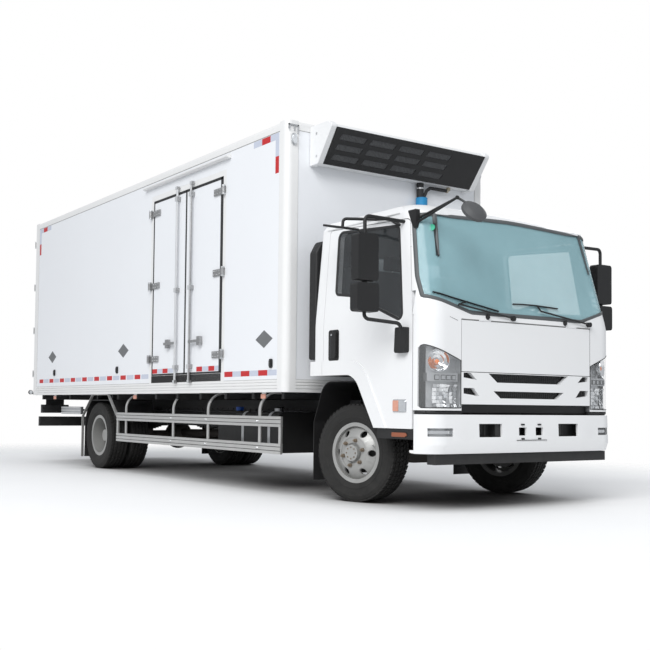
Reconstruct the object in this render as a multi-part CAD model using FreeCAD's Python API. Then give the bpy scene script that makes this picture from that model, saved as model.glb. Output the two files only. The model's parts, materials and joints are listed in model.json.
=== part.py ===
import FreeCAD, Part
import os
from math import atan2, cos, pi, radians, sin, tan

# Refrigerated truck: a tilting forward-control cab, a ladder chassis and an insulated box body.
# Millimetres. +X forward, +Y to the truck's left, +Z up, ground at z = 0.
# Every x below is counted from the front axle; export() moves the truck so that its origin
# lies on the ground under the middle of its length.

# Overall layout
WHEELBASE = 4985.0
FRONT_REACH = 1350.0        # front axle to the foremost point, the look-down mirror
BOX_FRONT = -664.0
BOX_LENGTH = 6455.0
BOX_REAR = BOX_FRONT - BOX_LENGTH
BOX_WIDTH = 2338.0
BOX_BOTTOM = 895.0
BOX_HEIGHT = 2378.0
DOOR_GEAR = 46.0            # how far hinges and lock rods stand proud of a box door
FRONT_AXLE_X = -(BOX_REAR - DOOR_GEAR + FRONT_REACH) / 2
REAR_AXLE_X = -WHEELBASE

# Box body
WALL = 80.0                 # insulated wall
LEAF = 74.0                 # door leaf, thinner than the wall by the seal's squeeze
ROOF = 90.0
SILL_HEIGHT = 108.0         # sill rail, floor panel and rear sill
RAIL_LEG = 80.0             # visible leg of the roof rails
RAIL_RADIUS = 34.0
POST_LEG = 118.0            # visible leg of the front corner posts
REAR_POST = 60.0
REAR_FRAME_DEPTH = 115.0
SKIN_INSET = 4.0            # panels lie this far inside the edge profiles
PANEL_GAP = 0.3             # glued seat between neighbouring panels
DOOR_GAP = 6.0              # running gap round a door leaf
BOX_SIDE = BOX_WIDTH / 2
BOX_TOP = BOX_BOTTOM + BOX_HEIGHT
SILL_TOP = BOX_BOTTOM + SILL_HEIGHT

# Side door, in the right-hand wall
SIDE_DOOR_FRONT = BOX_FRONT - 1071.0
SIDE_DOOR_REAR = SIDE_DOOR_FRONT - 1650.0
SIDE_DOOR_TOP = BOX_TOP - 238.0
SIDE_FRAME = 55.0
SIDE_FRAME_SILL = 82.0
SIDE_HINGE_Z = (SILL_TOP + 259.0, (SILL_TOP + SIDE_DOOR_TOP) / 2 + 33.0, SIDE_DOOR_TOP - 197.0)
REAR_HINGES = 4
REAR_HINGE_Z = tuple(SILL_TOP + 187.0 + (BOX_TOP - SILL_TOP - 470.0) * i / (REAR_HINGES - 1)
                     for i in range(REAR_HINGES))
FLOOR_REBATE = 4.0          # the floor's edges lie this much lower, under walls and frames

# Door furniture
PIN_PROUD = 24.0            # hinge pin centre proud of the leaf's outer face
PIN_R = 8.0
KNUCKLE_R = 16.0
STRAP_HALF = 32.0           # half the height of a hinge strap
STRAP_OFF = 6.0             # a strap's back face stands this far off the frame
STRAP_THICK = 8.0
LUG_BACK = 7.0
LUG_HEIGHT = 14.0           # fixed lugs above and below each strap, on the frame
SIDE_PIN_IN = 17.0          # hinge pins from the edge of the side door frame
REAR_PIN_IN = 8.0           # hinge pins from the side of the rear frame
ROD_R = 13.0
ROD_PROUD = 30.0            # lock rod centre proud of the leaf's outer face
ROD_FROM_SEAM = 152.0

# Refrigeration unit on the box's front wall
UNIT_HALF = BOX_SIDE - 239.0
UNIT_TOP = BOX_TOP - 35.0
UNIT_BOTTOM = UNIT_TOP - 350.0
UNIT_DEPTH_TOP = 345.0
UNIT_DEPTH_BOTTOM = 118.0
UNIT_END_CAP = 59.0
UNIT_INSET = 14.0           # the middle housing lies this far inside the end caps
UNIT_SLOT = (276.0, 57.0)   # width and height of a slot in the unit's front cover
PIPE_Y = 315.0              # the unit's pipes, from the middle of the truck

# Cab
CAB_HALF = 1037.0
CAB_FRONT = 1082.0
CAB_REAR = -420.0
CAB_BOTTOM = 612.0
WAIST_Z = 1440.0
CAB_WALL = 58.0
DOOR_FRONT_X = 887.0
DOOR_REAR_X = -265.0
SHUT_GAP = 5.0
FLARE = 14.0
LID_HALF = 712.0
LID_BOTTOM = 1045.0
LID_TOP = 1430.0
CAB_HINGE = (985.0, 790.0)          # x and z of the axis that the cab tilts about
DOOR_HINGE = (DOOR_FRONT_X - 15.0, CAB_HALF - 22.0)
DOOR_PIN_R = 5.0
GLASS = 6.0
CAB_SEAT_Z = 1030.0         # the cab's rear edge, and the wheel arch's top
TILT_TUBE_R = 20.0
EAR_R = 26.0                # chassis ears round the tilt tube
CORNER_BOTTOM = 752.0       # lower edge of the corner panels
GRILLE_BOTTOM = 800.0
MIRROR_X = 672.0
MIRROR_Y = 1325.0
LOOK_DOWN = (1240.0, -760.0, 2205.0)    # middle of the mirror over the screen
KERB_MIRROR = (180.0, -1190.0, 2200.0)
STEP_FRONT = DOOR_FRONT_X - 60.0
STEP_REAR = 455.0
STEP_BOTTOM = 560.0
SKIRT_BOTTOM = 533.0
DOOR_HINGE_Z = (800.0, 1060.0)
DOOR_SKIN = 9.0             # what a hinge pocket leaves of the door's outside
LID_PIN_R = 4.7             # hinge pins of the front lid, in the gap above it
LID_HINGE = (1077.0, LID_TOP + 5.0)
FLOOR_UNDER = 830.0         # underside of the footwell
PLATFORM_UNDER = 1110.0     # underside of the seat platform
SHEET = 35.0                # pressed floor, as thick as its ribs

# Outlines of the cab, as (along, up, corner radius)
# Cab body sections: height, half width, front, rear, front corner radius, bow of the front
CAB_SECTIONS = (
    (CAB_BOTTOM - 20, CAB_HALF, CAB_FRONT, CAB_REAR, 178.0, 16.0),
    (WAIST_Z, CAB_HALF, CAB_FRONT, CAB_REAR, 178.0, 16.0),
    (1500.0, CAB_HALF - 3, CAB_FRONT - 12, CAB_REAR, 178.0, 16.0),
    (2268.0, CAB_HALF - 64, CAB_FRONT - 206, CAB_REAR + 15, 170.0, 20.0),
    (2330.0, CAB_HALF - 112, CAB_FRONT - 290, CAB_REAR + 40, 160.0, 22.0),
    (2372.0, CAB_HALF - 240, CAB_FRONT - 450, CAB_REAR + 130, 150.0, 24.0),
)
ARCH = [(CAB_REAR - 20, CAB_SEAT_Z, 0), (180.0, CAB_SEAT_Z, 200), (440.0, CAB_BOTTOM, 0)]
FLARE_EDGE = [(CAB_REAR - 20, 1150.0, 0), (262.0, 1150.0, 300), (585.0, CAB_BOTTOM, 0)]
WINDSCREEN = [(-1045.0, 1612.0, 0), (-620.0, 1487.0, 150), (620.0, 1487.0, 150), (1045.0, 1612.0, 0),
              (1010.0, 2222.0, 0), (860.0, 2242.0, 0), (0.0, 2268.0, 4000), (-860.0, 2242.0, 0),
              (-1010.0, 2222.0, 0)]
SCREEN_SIDE = [(1010.0, 1400.0, 0), (CAB_FRONT + 30.0, 1400.0, 0), (CAB_FRONT + 30.0, 2300.0, 0),
               (780.0, 2300.0, 0), (780.0, 2236.0, 40), (884.0, 1755.0, 300), (945.0, 1600.0, 60), (1010.0, 1530.0, 0)]
DOOR_WINDOW = [(-124.0, 1698.0, 45), (130.0, 1665.0, 120), (778.0, 1415.0, 45), (658.0, 2168.0, 55),
               (-140.0, 2222.0, 55)]
HEADLAMP = [(718.0, 770.0, 0), (1026.0, 770.0, 12), (1026.0, 1246.0, 20), (718.0, 1126.0, 0)]
LAMP_BACK = CAB_FRONT - 138.0

# Chassis
RAIL_OUTER = 375.0
RAIL_TOP = 760.0
RAIL_HEIGHT = 220.0
RAIL_FLANGE = 65.0
RAIL_WALL = 8.0
FRAME_FRONT = 985.0
FRAME_REAR = BOX_REAR + 70.0
CROSSMEMBERS = (760.0, -1250.0, -2450.0, -3650.0, REAR_AXLE_X + 585.0, REAR_AXLE_X - 585.0, BOX_REAR + 719.0,
                FRAME_REAR + 49.0)
HOOP_X = -375.0
SPRING_Y = 430.0
SPRING_WIDTH = 70.0
SPRING_LEAF = 11.0
BEARERS = 13
BEARER_HEIGHT = 60.0
BEARER_HALF = BOX_SIDE - 84.0
BEARER_OVER_WHEEL = 540.0
GEARBOX_REAR = -1020.0
SHAFT_R = 45.0
SHAFT_Z = 500.0

# Bumper
BUMPER_HALF = 1037.0
BUMPER_FRONT = 1103.0
BUMPER_BOTTOM = 430.0
BUMPER_TOP = 722.0
BUMPER_WALL = 24.0
FOG_LAMP = (898.0, 560.0, 98.0, 60.0)   # middle, low edge, half width, height

# Wheels: 17.5 inch steel discs with six studs
TYRE_R = 400.0
TYRE_WIDTH = 235.0
FLANGE_R = 246.0
BEAD_R = 222.0
RIM_HALF = 97.0
DISC_OFFSET = 124.0
HUB_BORE = 82.0
HAND_HOLES = 6
FRONT_WHEEL_Y = 845.0
REAR_WHEEL_Y = 968.0
DUAL_SPACING = 270.0
KINGPIN_Y = 715.0
KINGPIN_R = 20.0
SPINDLE_R = 28.0
PIN_CLEARANCE = 0.05
DRUM_R = 165.0
DRUM_BACK = 566.0           # inner face of a rear drum, from the middle of the truck
REST_STEER = 14.0           # the front wheels stand turned to the left, in degrees

# Side guards
GUARD_Y = BOX_SIDE - 39.0
GUARD_FRONT = -775.0
GUARD_REAR = REAR_AXLE_X + 660.0
GUARD_Z = (352.0, 590.0)
GUARD_RAIL = 92.0
GUARD_HANGERS = tuple(GUARD_FRONT + (GUARD_REAR - GUARD_FRONT) * t for t in (0.111, 0.387, 0.602, 0.941))
HANGER_THICK = 12.0
LINER_REAR = -505.0
STRIP = 8.0                 # bent strip that runs on over the rear wheel
STRIP_Y = (REAR_WHEEL_Y + TYRE_WIDTH / 2 + 12.0, GUARD_Y)
FLAP_X = REAR_AXLE_X - TYRE_R - 24.0
FLAP_BOTTOM = 125.0


def V(x, y, z):
    return FreeCAD.Vector(x, y, z)


def block(x, y, z):
    """A cuboid from three (low, high) pairs."""
    return Part.makeBox(x[1] - x[0], y[1] - y[0], z[1] - z[0], V(x[0], y[0], z[0]))


def rod(radius, start, end):
    """A round bar between two points."""
    a, b = V(*start), V(*end)
    return Part.makeCylinder(radius, (b - a).Length, a, b - a)


def mirrored(shape):
    """The same piece on the other side of the truck."""
    return shape.mirror(V(0, 0, 0), V(0, 1, 0))


def both_sides(shape):
    return [shape, mirrored(shape)]


def fuse(shapes):
    return shapes[0].multiFuse(shapes[1:]).removeSplitter()


def cut(shape, tools):
    return shape.cut(tools if isinstance(tools, list) else [tools])


def rounded_edges(corners, closed=True):
    """Line and arc edges through corners (a, b, radius) in a plane."""
    count = len(corners)
    points = [(V(a, b, 0), r) for a, b, r in corners]
    stops = []
    for i, (corner, radius) in enumerate(points):
        if radius == 0 or (not closed and i in (0, count - 1)):
            stops.append((corner, corner, corner))
            continue
        back = (points[i - 1][0] - corner).normalize()
        ahead = (points[(i + 1) % count][0] - corner).normalize()
        half = back.getAngle(ahead) / 2
        reach = radius / tan(half)
        centre = corner + (back + ahead).normalize() * (radius / sin(half))
        middle = centre + (corner - centre).normalize() * radius
        stops.append((corner + back * reach, middle, corner + ahead * reach))
    edges = []
    for i in range(count if closed else count - 1):
        enter, middle, leave = stops[i]
        if (leave - enter).Length > 1e-6:
            edges.append(Part.Arc(enter, middle, leave).toShape())
        following = stops[(i + 1) % count][0]
        if (following - leave).Length > 1e-6:
            edges.append(Part.makeLine(leave, following))
    return edges


PLANES = {
    "xy": FreeCAD.Placement(),
    "xz": FreeCAD.Placement(V(0, 0, 0), FreeCAD.Rotation(V(1, 0, 0), V(0, 0, 1), V(0, -1, 0), "XZY")),
    "yz": FreeCAD.Placement(V(0, 0, 0), FreeCAD.Rotation(V(0, 1, 0), V(0, 0, 1), V(1, 0, 0), "XYZ")),
}
NORMALS = {"xy": V(0, 0, 1), "xz": V(0, 1, 0), "yz": V(1, 0, 0)}


def prism(plane, corners, low, high, grow=0.0):
    """An outline of (a, b, radius) corners in a plane, drawn out from low to high along its normal."""
    wire = Part.Wire(rounded_edges(corners))
    if grow:
        wire = wire.makeOffset2D(grow)
    face = Part.Face(wire)
    face.Placement = PLANES[plane]
    normal = NORMALS[plane]
    face.translate(normal * low)
    return face.extrude(normal * (high - low))


def bent_tube(points, radius, bend):
    """A round tube along a polyline whose inner corners are rounded to one bend radius."""
    vectors = [V(*p) for p in points]
    edges = []
    start = vectors[0]
    for before, corner, after in zip(vectors, vectors[1:], vectors[2:]):
        back = (before - corner).normalize()
        ahead = (after - corner).normalize()
        half = back.getAngle(ahead) / 2
        centre = corner + (back + ahead).normalize() * (bend / sin(half))
        middle = centre + (corner - centre).normalize() * bend
        enter = corner + back * (bend / tan(half))
        leave = corner + ahead * (bend / tan(half))
        edges += [Part.makeLine(start, enter), Part.Arc(enter, middle, leave).toShape()]
        start = leave
    edges.append(Part.makeLine(start, vectors[-1]))
    path = Part.Wire(edges)
    ring = Part.Wire(Part.makeCircle(radius, vectors[0], vectors[1] - vectors[0]))
    return path.makePipeShell([ring], True, False)


def export(node, solids):
    """Write one node: its solids, moved so that the origin is under the middle of the truck."""
    shape = Part.makeCompound(solids) if isinstance(solids, list) else solids
    shape = shape.copy()
    shape.translate(V(FRONT_AXLE_X, 0, 0))
    shape.exportStep("parts/" + node + ".step")


# ---------------------------------------------------------------- chassis

def chassis_frame():
    """Two pressed channels, their crossmembers and the ears that carry the cab's tilt tube."""
    rail = block((FRAME_REAR, FRAME_FRONT), (RAIL_OUTER - RAIL_FLANGE, RAIL_OUTER),
                 (RAIL_TOP - RAIL_HEIGHT, RAIL_TOP))
    hollow = block((FRAME_REAR, FRAME_FRONT), (RAIL_OUTER - RAIL_FLANGE, RAIL_OUTER - RAIL_WALL),
                   (RAIL_TOP - RAIL_HEIGHT + RAIL_WALL, RAIL_TOP - RAIL_WALL))
    rail = cut(rail, hollow)
    ear_x = CAB_HINGE[0]
    ear = prism("xz", [(FRAME_FRONT - 190, RAIL_TOP - 60, 0), (ear_x + EAR_R, RAIL_TOP - 60, 0),
                       (ear_x + EAR_R, CAB_HINGE[1] + EAR_R + 5, EAR_R - 1),
                       (ear_x - EAR_R, CAB_HINGE[1] + EAR_R + 5, EAR_R - 1)],
                RAIL_OUTER, RAIL_OUTER + 12)
    ear = cut(ear, rod(TILT_TUBE_R + 0.5, (ear_x, RAIL_OUTER - 5, CAB_HINGE[1]),
                       (ear_x, RAIL_OUTER + 20, CAB_HINGE[1])))
    web = RAIL_OUTER - RAIL_WALL
    members = []
    for x in CROSSMEMBERS:
        member = block((x - 45, x + 45), (-web, web), (RAIL_TOP - 175, RAIL_TOP - 45))
        inside = block((x - 37, x + 46), (-web, web), (RAIL_TOP - 167, RAIL_TOP - 53))
        members.append(cut(member, inside))
    stay = block((FRAME_FRONT - 90, BUMPER_FRONT), (RAIL_OUTER - RAIL_FLANGE, RAIL_OUTER - RAIL_WALL),
                 (RAIL_TOP - RAIL_HEIGHT + 20, RAIL_TOP - 70))
    stay = stay.common(bumper_form(BUMPER_WALL + PANEL_GAP))
    return fuse(both_sides(rail) + both_sides(ear) + both_sides(stay) + members + [cab_hoop()])



def cab_hoop():
    """The arch behind the engine that the cab's rear edge rests on."""
    outline = [(-RAIL_OUTER - 60, RAIL_TOP - 90, 0), (-RAIL_OUTER - 60, CAB_SEAT_Z - 0.3, 60),
               (RAIL_OUTER + 60, CAB_SEAT_Z - 0.3, 60), (RAIL_OUTER + 60, RAIL_TOP - 90, 0)]
    inner = [(-RAIL_OUTER, RAIL_TOP - 100, 0), (-RAIL_OUTER, CAB_SEAT_Z - 60, 30),
             (RAIL_OUTER, CAB_SEAT_Z - 60, 30), (RAIL_OUTER, RAIL_TOP - 100, 0)]
    low, high = HOOP_X - 30, HOOP_X + 30
    return cut(prism("yz", outline, low, high), prism("yz", inner, low - 1, high + 1))


def body_subframe():
    """Sleepers on the chassis rails and the cross bearers that carry the box floor."""
    sleeper = block((FRAME_REAR + 20, BOX_FRONT + 30), (RAIL_OUTER - RAIL_FLANGE, RAIL_OUTER - 5),
                    (RAIL_TOP, BOX_BOTTOM - BEARER_HEIGHT - PANEL_GAP))
    span = BOX_FRONT - BOX_REAR - 300
    bearers = []
    for i in range(BEARERS):
        x = BOX_REAR + 150 + span * i / (BEARERS - 1)
        half = BEARER_OVER_WHEEL if abs(x - REAR_AXLE_X) < TYRE_R + 160 else BEARER_HALF
        bearers.append(block((x - 22, x + 22), (-half, half), (BOX_BOTTOM - BEARER_HEIGHT, BOX_BOTTOM)))
    return both_sides(sleeper) + bearers


def engine_block():
    """Engine and gearbox as one plain mass between the rails."""
    engine = block((HOOP_X + 50, 290), (-250, 250), (450, 1000))
    gearbox = block((GEARBOX_REAR, HOOP_X + 50), (-170, 170), (SHAFT_Z - 110, 740))
    return fuse([engine, gearbox])


def leaf_springs():
    """Cambered leaf packs outboard of the rails, each on two hangers."""
    packs = []
    # axle x, height of the top leaf at the axle, length, leaves, camber
    for x, z, length, leaves, camber in ((0.0, 494.0, 1180.0, 4, 40.0), (REAR_AXLE_X, 558.0, 1250.0, 7, 22.0)):
        radius = (length / 2) ** 2 / (2 * camber)
        bands = []
        for i in range(leaves):
            half = length / 2 * (1 - 0.12 * i)
            bands.append(leaf_band(x, z - SPRING_LEAF * i, half, radius))
        for end in (-1, 1):
            x_end = x + end * (length / 2 - 22)
            bands.append(block((x_end - 22, x_end + 22), (RAIL_OUTER + PANEL_GAP, SPRING_Y + SPRING_WIDTH / 2),
                               (z + camber - 26, RAIL_TOP - 60)))
        packs += both_sides(fuse(bands))
    return packs


def leaf_band(x, top, half, radius):
    """One leaf: a strip bent upwards at both ends to the given radius."""
    rise = half * half / (2 * radius)
    low = top - SPRING_LEAF
    ends = [(x - half, rise), (x + half, rise)]
    edges = [Part.Arc(V(ends[0][0], 0, top + rise), V(x, 0, top), V(ends[1][0], 0, top + rise)).toShape(),
             Part.makeLine(V(ends[1][0], 0, top + rise), V(ends[1][0], 0, low + rise)),
             Part.Arc(V(ends[1][0], 0, low + rise), V(x, 0, low), V(ends[0][0], 0, low + rise)).toShape(),
             Part.makeLine(V(ends[0][0], 0, low + rise), V(ends[0][0], 0, top + rise))]
    face = Part.Face(Part.Wire(edges))
    face.translate(V(0, SPRING_Y - SPRING_WIDTH / 2, 0))
    return face.extrude(V(0, SPRING_WIDTH, 0))


def front_axle_beam():
    """Dropped I-beam with an eye for each kingpin."""
    top, bottom = [], []
    for y, z in ((-KINGPIN_Y, 400), (-600, 400), (-500, 385), (-300, 340), (300, 340), (500, 385), (600, 400),
                 (KINGPIN_Y, 400)):
        top.append((y, z + 38, 0))
        bottom.insert(0, (y, z - 38, 0))
    beam = prism("yz", top + bottom, -32, 32)
    eyes = [rod(44, (0, side * KINGPIN_Y, 330), (0, side * KINGPIN_Y, 470)) for side in (-1, 1)]
    bores = [rod(KINGPIN_R + PIN_CLEARANCE, (0, side * KINGPIN_Y, 300), (0, side * KINGPIN_Y, 500))
             for side in (-1, 1)]
    pads = both_sides(block((-60, 60), (SPRING_Y - 35, SPRING_Y + 35), (400, 449.7)))
    return cut(fuse([beam] + eyes + pads), bores)


def knuckle():
    """Left steering knuckle: two ears on a kingpin, the plate that joins them and the wheel spindle."""
    y = KINGPIN_Y
    heights = ((475, 507), (293, 325))
    ears = [rod(44, (0, y, low), (0, y, high)) for low, high in heights]
    bridges = [block((-40, 40), (y, y + 78), pair) for pair in heights]
    plate = block((-60, 60), (y + 52, y + 78), (293, 507))
    pin = rod(KINGPIN_R, (0, y, 293), (0, y, 507))
    spindle = rod(SPINDLE_R, (0, y + 78, TYRE_R), (0, FRONT_WHEEL_Y + 60, TYRE_R))
    return fuse(ears + bridges + [plate, pin, spindle])


def rear_axle():
    """Banjo axle, its spring seats, and the propeller shaft from the gearbox."""
    x = REAR_AXLE_X
    end = DRUM_BACK - PANEL_GAP
    tube = rod(58, (x, -end, TYRE_R), (x, end, TYRE_R))
    banjo = Part.makeSphere(172, V(x, 0, TYRE_R))
    pads = both_sides(block((x - 70, x + 70), (SPRING_Y - 35, SPRING_Y + 35), (TYRE_R, 480.7)))
    shaft = rod(SHAFT_R, (x + 150, 0, 430), (GEARBOX_REAR - 1.2, 0, SHAFT_Z))
    return fuse([tube, banjo] + pads + [shaft])


# ---------------------------------------------------------------- wheels

def revolve_y(profile):
    """A ring about the wheel's axle, from (radius, axial) points, centred on the origin."""
    face = Part.Face(Part.makePolygon([V(r, s, 0) for r, s in profile + profile[:1]]))
    return face.revolve(V(0, 0, 0), V(0, 1, 0), 360)


def tyre():
    half = TYRE_WIDTH / 2
    bead = RIM_HALF - 12.5
    return revolve_y([(BEAD_R, -bead), (FLANGE_R + 0.4, -RIM_HALF), (FLANGE_R + 62, -half), (TYRE_R - 24, -half + 5),
                      (TYRE_R, -half + 28), (TYRE_R, half - 28), (TYRE_R - 24, half - 5), (FLANGE_R + 62, half),
                      (FLANGE_R + 0.4, RIM_HALF), (BEAD_R, bead)])


def disc_rim():
    """A drop-centre rim with its dished disc, which stands out on the +Y side."""
    body = revolve_y([(FLANGE_R, -RIM_HALF), (BEAD_R, -RIM_HALF + 12), (BEAD_R, RIM_HALF - 12), (FLANGE_R, RIM_HALF),
                      (215, RIM_HALF), (215, 66), (140, DISC_OFFSET), (HUB_BORE, DISC_OFFSET),
                      (HUB_BORE, DISC_OFFSET - 12), (134, DISC_OFFSET - 12), (211, 50), (211, -RIM_HALF)])
    holes = [rod(27, (172 * cos(2 * pi * i / HAND_HOLES), 0, 172 * sin(2 * pi * i / HAND_HOLES)),
                 (172 * cos(2 * pi * i / HAND_HOLES), 200, 172 * sin(2 * pi * i / HAND_HOLES)))
             for i in range(HAND_HOLES)]
    return cut(body, holes)


def plain_rim():
    """The inner rim of a twin wheel: only its barrel shows."""
    return revolve_y([(BEAD_R, -RIM_HALF), (BEAD_R, RIM_HALF), (211, RIM_HALF), (211, -RIM_HALF)])


def twin_rims():
    """Left twin rims on their hub, centred on the outer rim: its disc is dished inwards."""
    return fuse([mirrored(disc_rim()), moved(plain_rim(), 0, -DUAL_SPACING, 0), rear_hub()])


def placed(shape, x, y, flipped=False):
    if flipped:
        shape = mirrored(shape)
    shape = shape.copy()
    shape.translate(V(x, y, TYRE_R))
    return shape


def steered(shape, side):
    """A piece of a front wheel or knuckle, turned about its kingpin to where the wheels stand."""
    shape = shape.copy()
    shape.rotate(V(0, side * KINGPIN_Y, 0), V(0, 0, 1), REST_STEER)
    return shape


def front_hub():
    """Drum and hub of a front wheel, bored for the spindle, with its cap."""
    seat = DISC_OFFSET - 12
    body = revolve_y([(SPINDLE_R + PIN_CLEARANCE, -45), (DRUM_R, -45), (DRUM_R, 30), (HUB_BORE - 2, 42),
                      (HUB_BORE - 2, seat - 20), (120, seat - 20), (120, seat), (HUB_BORE - 12, seat),
                      (HUB_BORE - 16, DISC_OFFSET + 30), (0, DISC_OFFSET + 30), (0, 65),
                      (SPINDLE_R + PIN_CLEARANCE, 65)])
    return body


def rear_hub():
    """Drum and hub that carries both rims of a left twin wheel, measured from the outer rim."""
    inner_seat = -DUAL_SPACING + DISC_OFFSET - 12
    drum_start = DRUM_BACK - REAR_WHEEL_Y
    return revolve_y([(0, drum_start), (DRUM_R + 10, drum_start), (DRUM_R + 10, inner_seat - 22),
                      (212, inner_seat - 22), (212, inner_seat), (150, inner_seat), (HUB_BORE - 8, -90),
                      (HUB_BORE - 12, 30), (0, 30)])


# ---------------------------------------------------------------- box body

def edge_profiles():
    """Roof rails, ribbed sill rails and the two rounded front corner posts, joined as one cage."""
    rear, front = BOX_REAR + REAR_FRAME_DEPTH + PANEL_GAP, BOX_FRONT
    skin = BOX_SIDE - SKIN_INSET
    rail_z = BOX_TOP - RAIL_LEG
    roof_rail = prism("yz", [(BOX_SIDE, BOX_TOP, RAIL_RADIUS), (BOX_SIDE, rail_z, 0), (skin - WALL, rail_z, 0),
                             (skin - WALL, BOX_TOP, 0)], rear, front - 40)
    front_rail = prism("xz", [(front, BOX_TOP, RAIL_RADIUS), (front, rail_z, 0), (front - RAIL_LEG, rail_z, 0),
                              (front - RAIL_LEG, BOX_TOP, 0)], -BOX_SIDE, BOX_SIDE)
    sill = prism("yz", sill_section(), rear, front - 40)
    front_sill = prism("xz", [(front + y - BOX_SIDE, z, 0) for y, z, _ in sill_section()], -BOX_SIDE, BOX_SIDE)
    post_outline = [(front, BOX_SIDE, 62), (front, BOX_SIDE - POST_LEG, 0), (front - WALL, BOX_SIDE - POST_LEG, 0),
                    (front - WALL, BOX_SIDE - WALL, 0), (front - POST_LEG, BOX_SIDE - WALL, 0),
                    (front - POST_LEG, BOX_SIDE, 0)]
    post = prism("xy", post_outline, BOX_BOTTOM, BOX_TOP)
    cage = fuse(both_sides(roof_rail) + both_sides(sill) + both_sides(post) + [front_rail, front_sill])
    corner = block((front - 62, front), (BOX_SIDE - 62, BOX_SIDE), (0, BOX_TOP + 10))
    corner = cut(corner, rod(62, (front - 62, BOX_SIDE - 62, -5), (front - 62, BOX_SIDE - 62, BOX_TOP + 20)))
    return cut(cage, both_sides(corner))


def sill_section():
    """Sill rail with three shallow grooves, left side."""
    face, groove, back = BOX_SIDE, BOX_SIDE - 7, BOX_SIDE - 30
    corners = [(back, BOX_BOTTOM, 0), (face, BOX_BOTTOM, 0)]
    for i in range(3):
        z = BOX_BOTTOM + 22 + 28 * i
        corners += [(face, z, 0), (groove, z + 3, 0), (groove, z + 9, 0), (face, z + 12, 0)]
    return corners + [(face, SILL_TOP, 0), (back, SILL_TOP, 0)]


def box_panels():
    """Floor, roof, front wall and the two side walls, each a slab the thickness of the wall."""
    rear = BOX_REAR + REAR_FRAME_DEPTH + 2 * PANEL_GAP
    skin = BOX_SIDE - SKIN_INSET
    wall_z = (SILL_TOP + PANEL_GAP, BOX_TOP - RAIL_LEG - PANEL_GAP)
    floor = block((rear, BOX_FRONT - 30 - PANEL_GAP), (-BOX_SIDE + 30 + PANEL_GAP, BOX_SIDE - 30 - PANEL_GAP),
                  (BOX_BOTTOM, SILL_TOP))
    posts = [block((BOX_FRONT - POST_LEG - PANEL_GAP, BOX_FRONT), (y0, y1), (0, BOX_TOP))
             for y0, y1 in ((-BOX_SIDE, -BOX_SIDE + POST_LEG + PANEL_GAP),
                            (BOX_SIDE - POST_LEG - PANEL_GAP, BOX_SIDE))]
    clear = block((rear + 10, BOX_FRONT - RAIL_LEG - 6), (-skin + WALL + 16, skin - WALL - 16),
                  (SILL_TOP - FLOOR_REBATE, SILL_TOP))
    edges = cut(block((rear - 5, BOX_FRONT), (-BOX_SIDE, BOX_SIDE), (SILL_TOP - FLOOR_REBATE, SILL_TOP + 1)), clear)
    floor = cut(floor, posts + [edges])
    roof_half = skin - WALL - PANEL_GAP
    roof = block((rear, BOX_FRONT - RAIL_LEG - PANEL_GAP), (-roof_half, roof_half), (BOX_TOP - ROOF, BOX_TOP - 2))
    side = block((rear, BOX_FRONT - POST_LEG - PANEL_GAP), (skin - WALL, skin), wall_z)
    front = block((BOX_FRONT - RAIL_LEG, BOX_FRONT - SKIN_INSET),
                  (-BOX_SIDE + POST_LEG + PANEL_GAP, BOX_SIDE - POST_LEG - PANEL_GAP), wall_z)
    opening = block((SIDE_DOOR_REAR, SIDE_DOOR_FRONT), (-BOX_SIDE - 5, -skin + WALL + 5),
                    (SILL_TOP - 1, SIDE_DOOR_TOP))
    return {"box_floor": floor, "box_roof": roof, "box_walls": [side, front, cut(mirrored(side), opening)]}


def rear_frame():
    """Welded portal round the rear doors, with a rebate that the leaves close on."""
    depth = (BOX_REAR, BOX_REAR + REAR_FRAME_DEPTH)
    frame = block(depth, (-BOX_SIDE, BOX_SIDE), (BOX_BOTTOM, BOX_TOP))
    opening = block((BOX_REAR - 1, BOX_REAR + WALL + DOOR_GAP), (-BOX_SIDE + REAR_POST, BOX_SIDE - REAR_POST),
                    (SILL_TOP, BOX_TOP - ROOF))
    inner = block((BOX_REAR, depth[1] + 1), (-BOX_SIDE + REAR_POST + 25, BOX_SIDE - REAR_POST - 25),
                  (SILL_TOP, BOX_TOP - ROOF - 25))
    return cut(frame, [opening, inner])


def side_door_frame():
    """Frame let into the right-hand wall, with a deep rubber-faced sill."""
    skin = BOX_SIDE - SKIN_INSET
    y = (-skin, -skin + WALL + 12)
    ring = block((SIDE_DOOR_REAR + PANEL_GAP, SIDE_DOOR_FRONT - PANEL_GAP), y,
                 (SILL_TOP + PANEL_GAP, SIDE_DOOR_TOP - PANEL_GAP))
    x = (SIDE_DOOR_REAR + SIDE_FRAME, SIDE_DOOR_FRONT - SIDE_FRAME)
    opening = block(x, (y[0] - 1, y[0] + WALL), (SILL_TOP + SIDE_FRAME_SILL, SIDE_DOOR_TOP - SIDE_FRAME))
    lip = block((x[0] + 20, x[1] - 20), (y[0], y[1] + 1),
                (SILL_TOP + SIDE_FRAME_SILL, SIDE_DOOR_TOP - SIDE_FRAME - 20))
    return cut(ring, [opening, lip])


def leaf(width, height):
    """A door leaf in its own frame: hinge edge at x = 0, outer face at y = 0, bottom at z = 0."""
    return block((0, width), (0, LEAF), (0, height))


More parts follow.
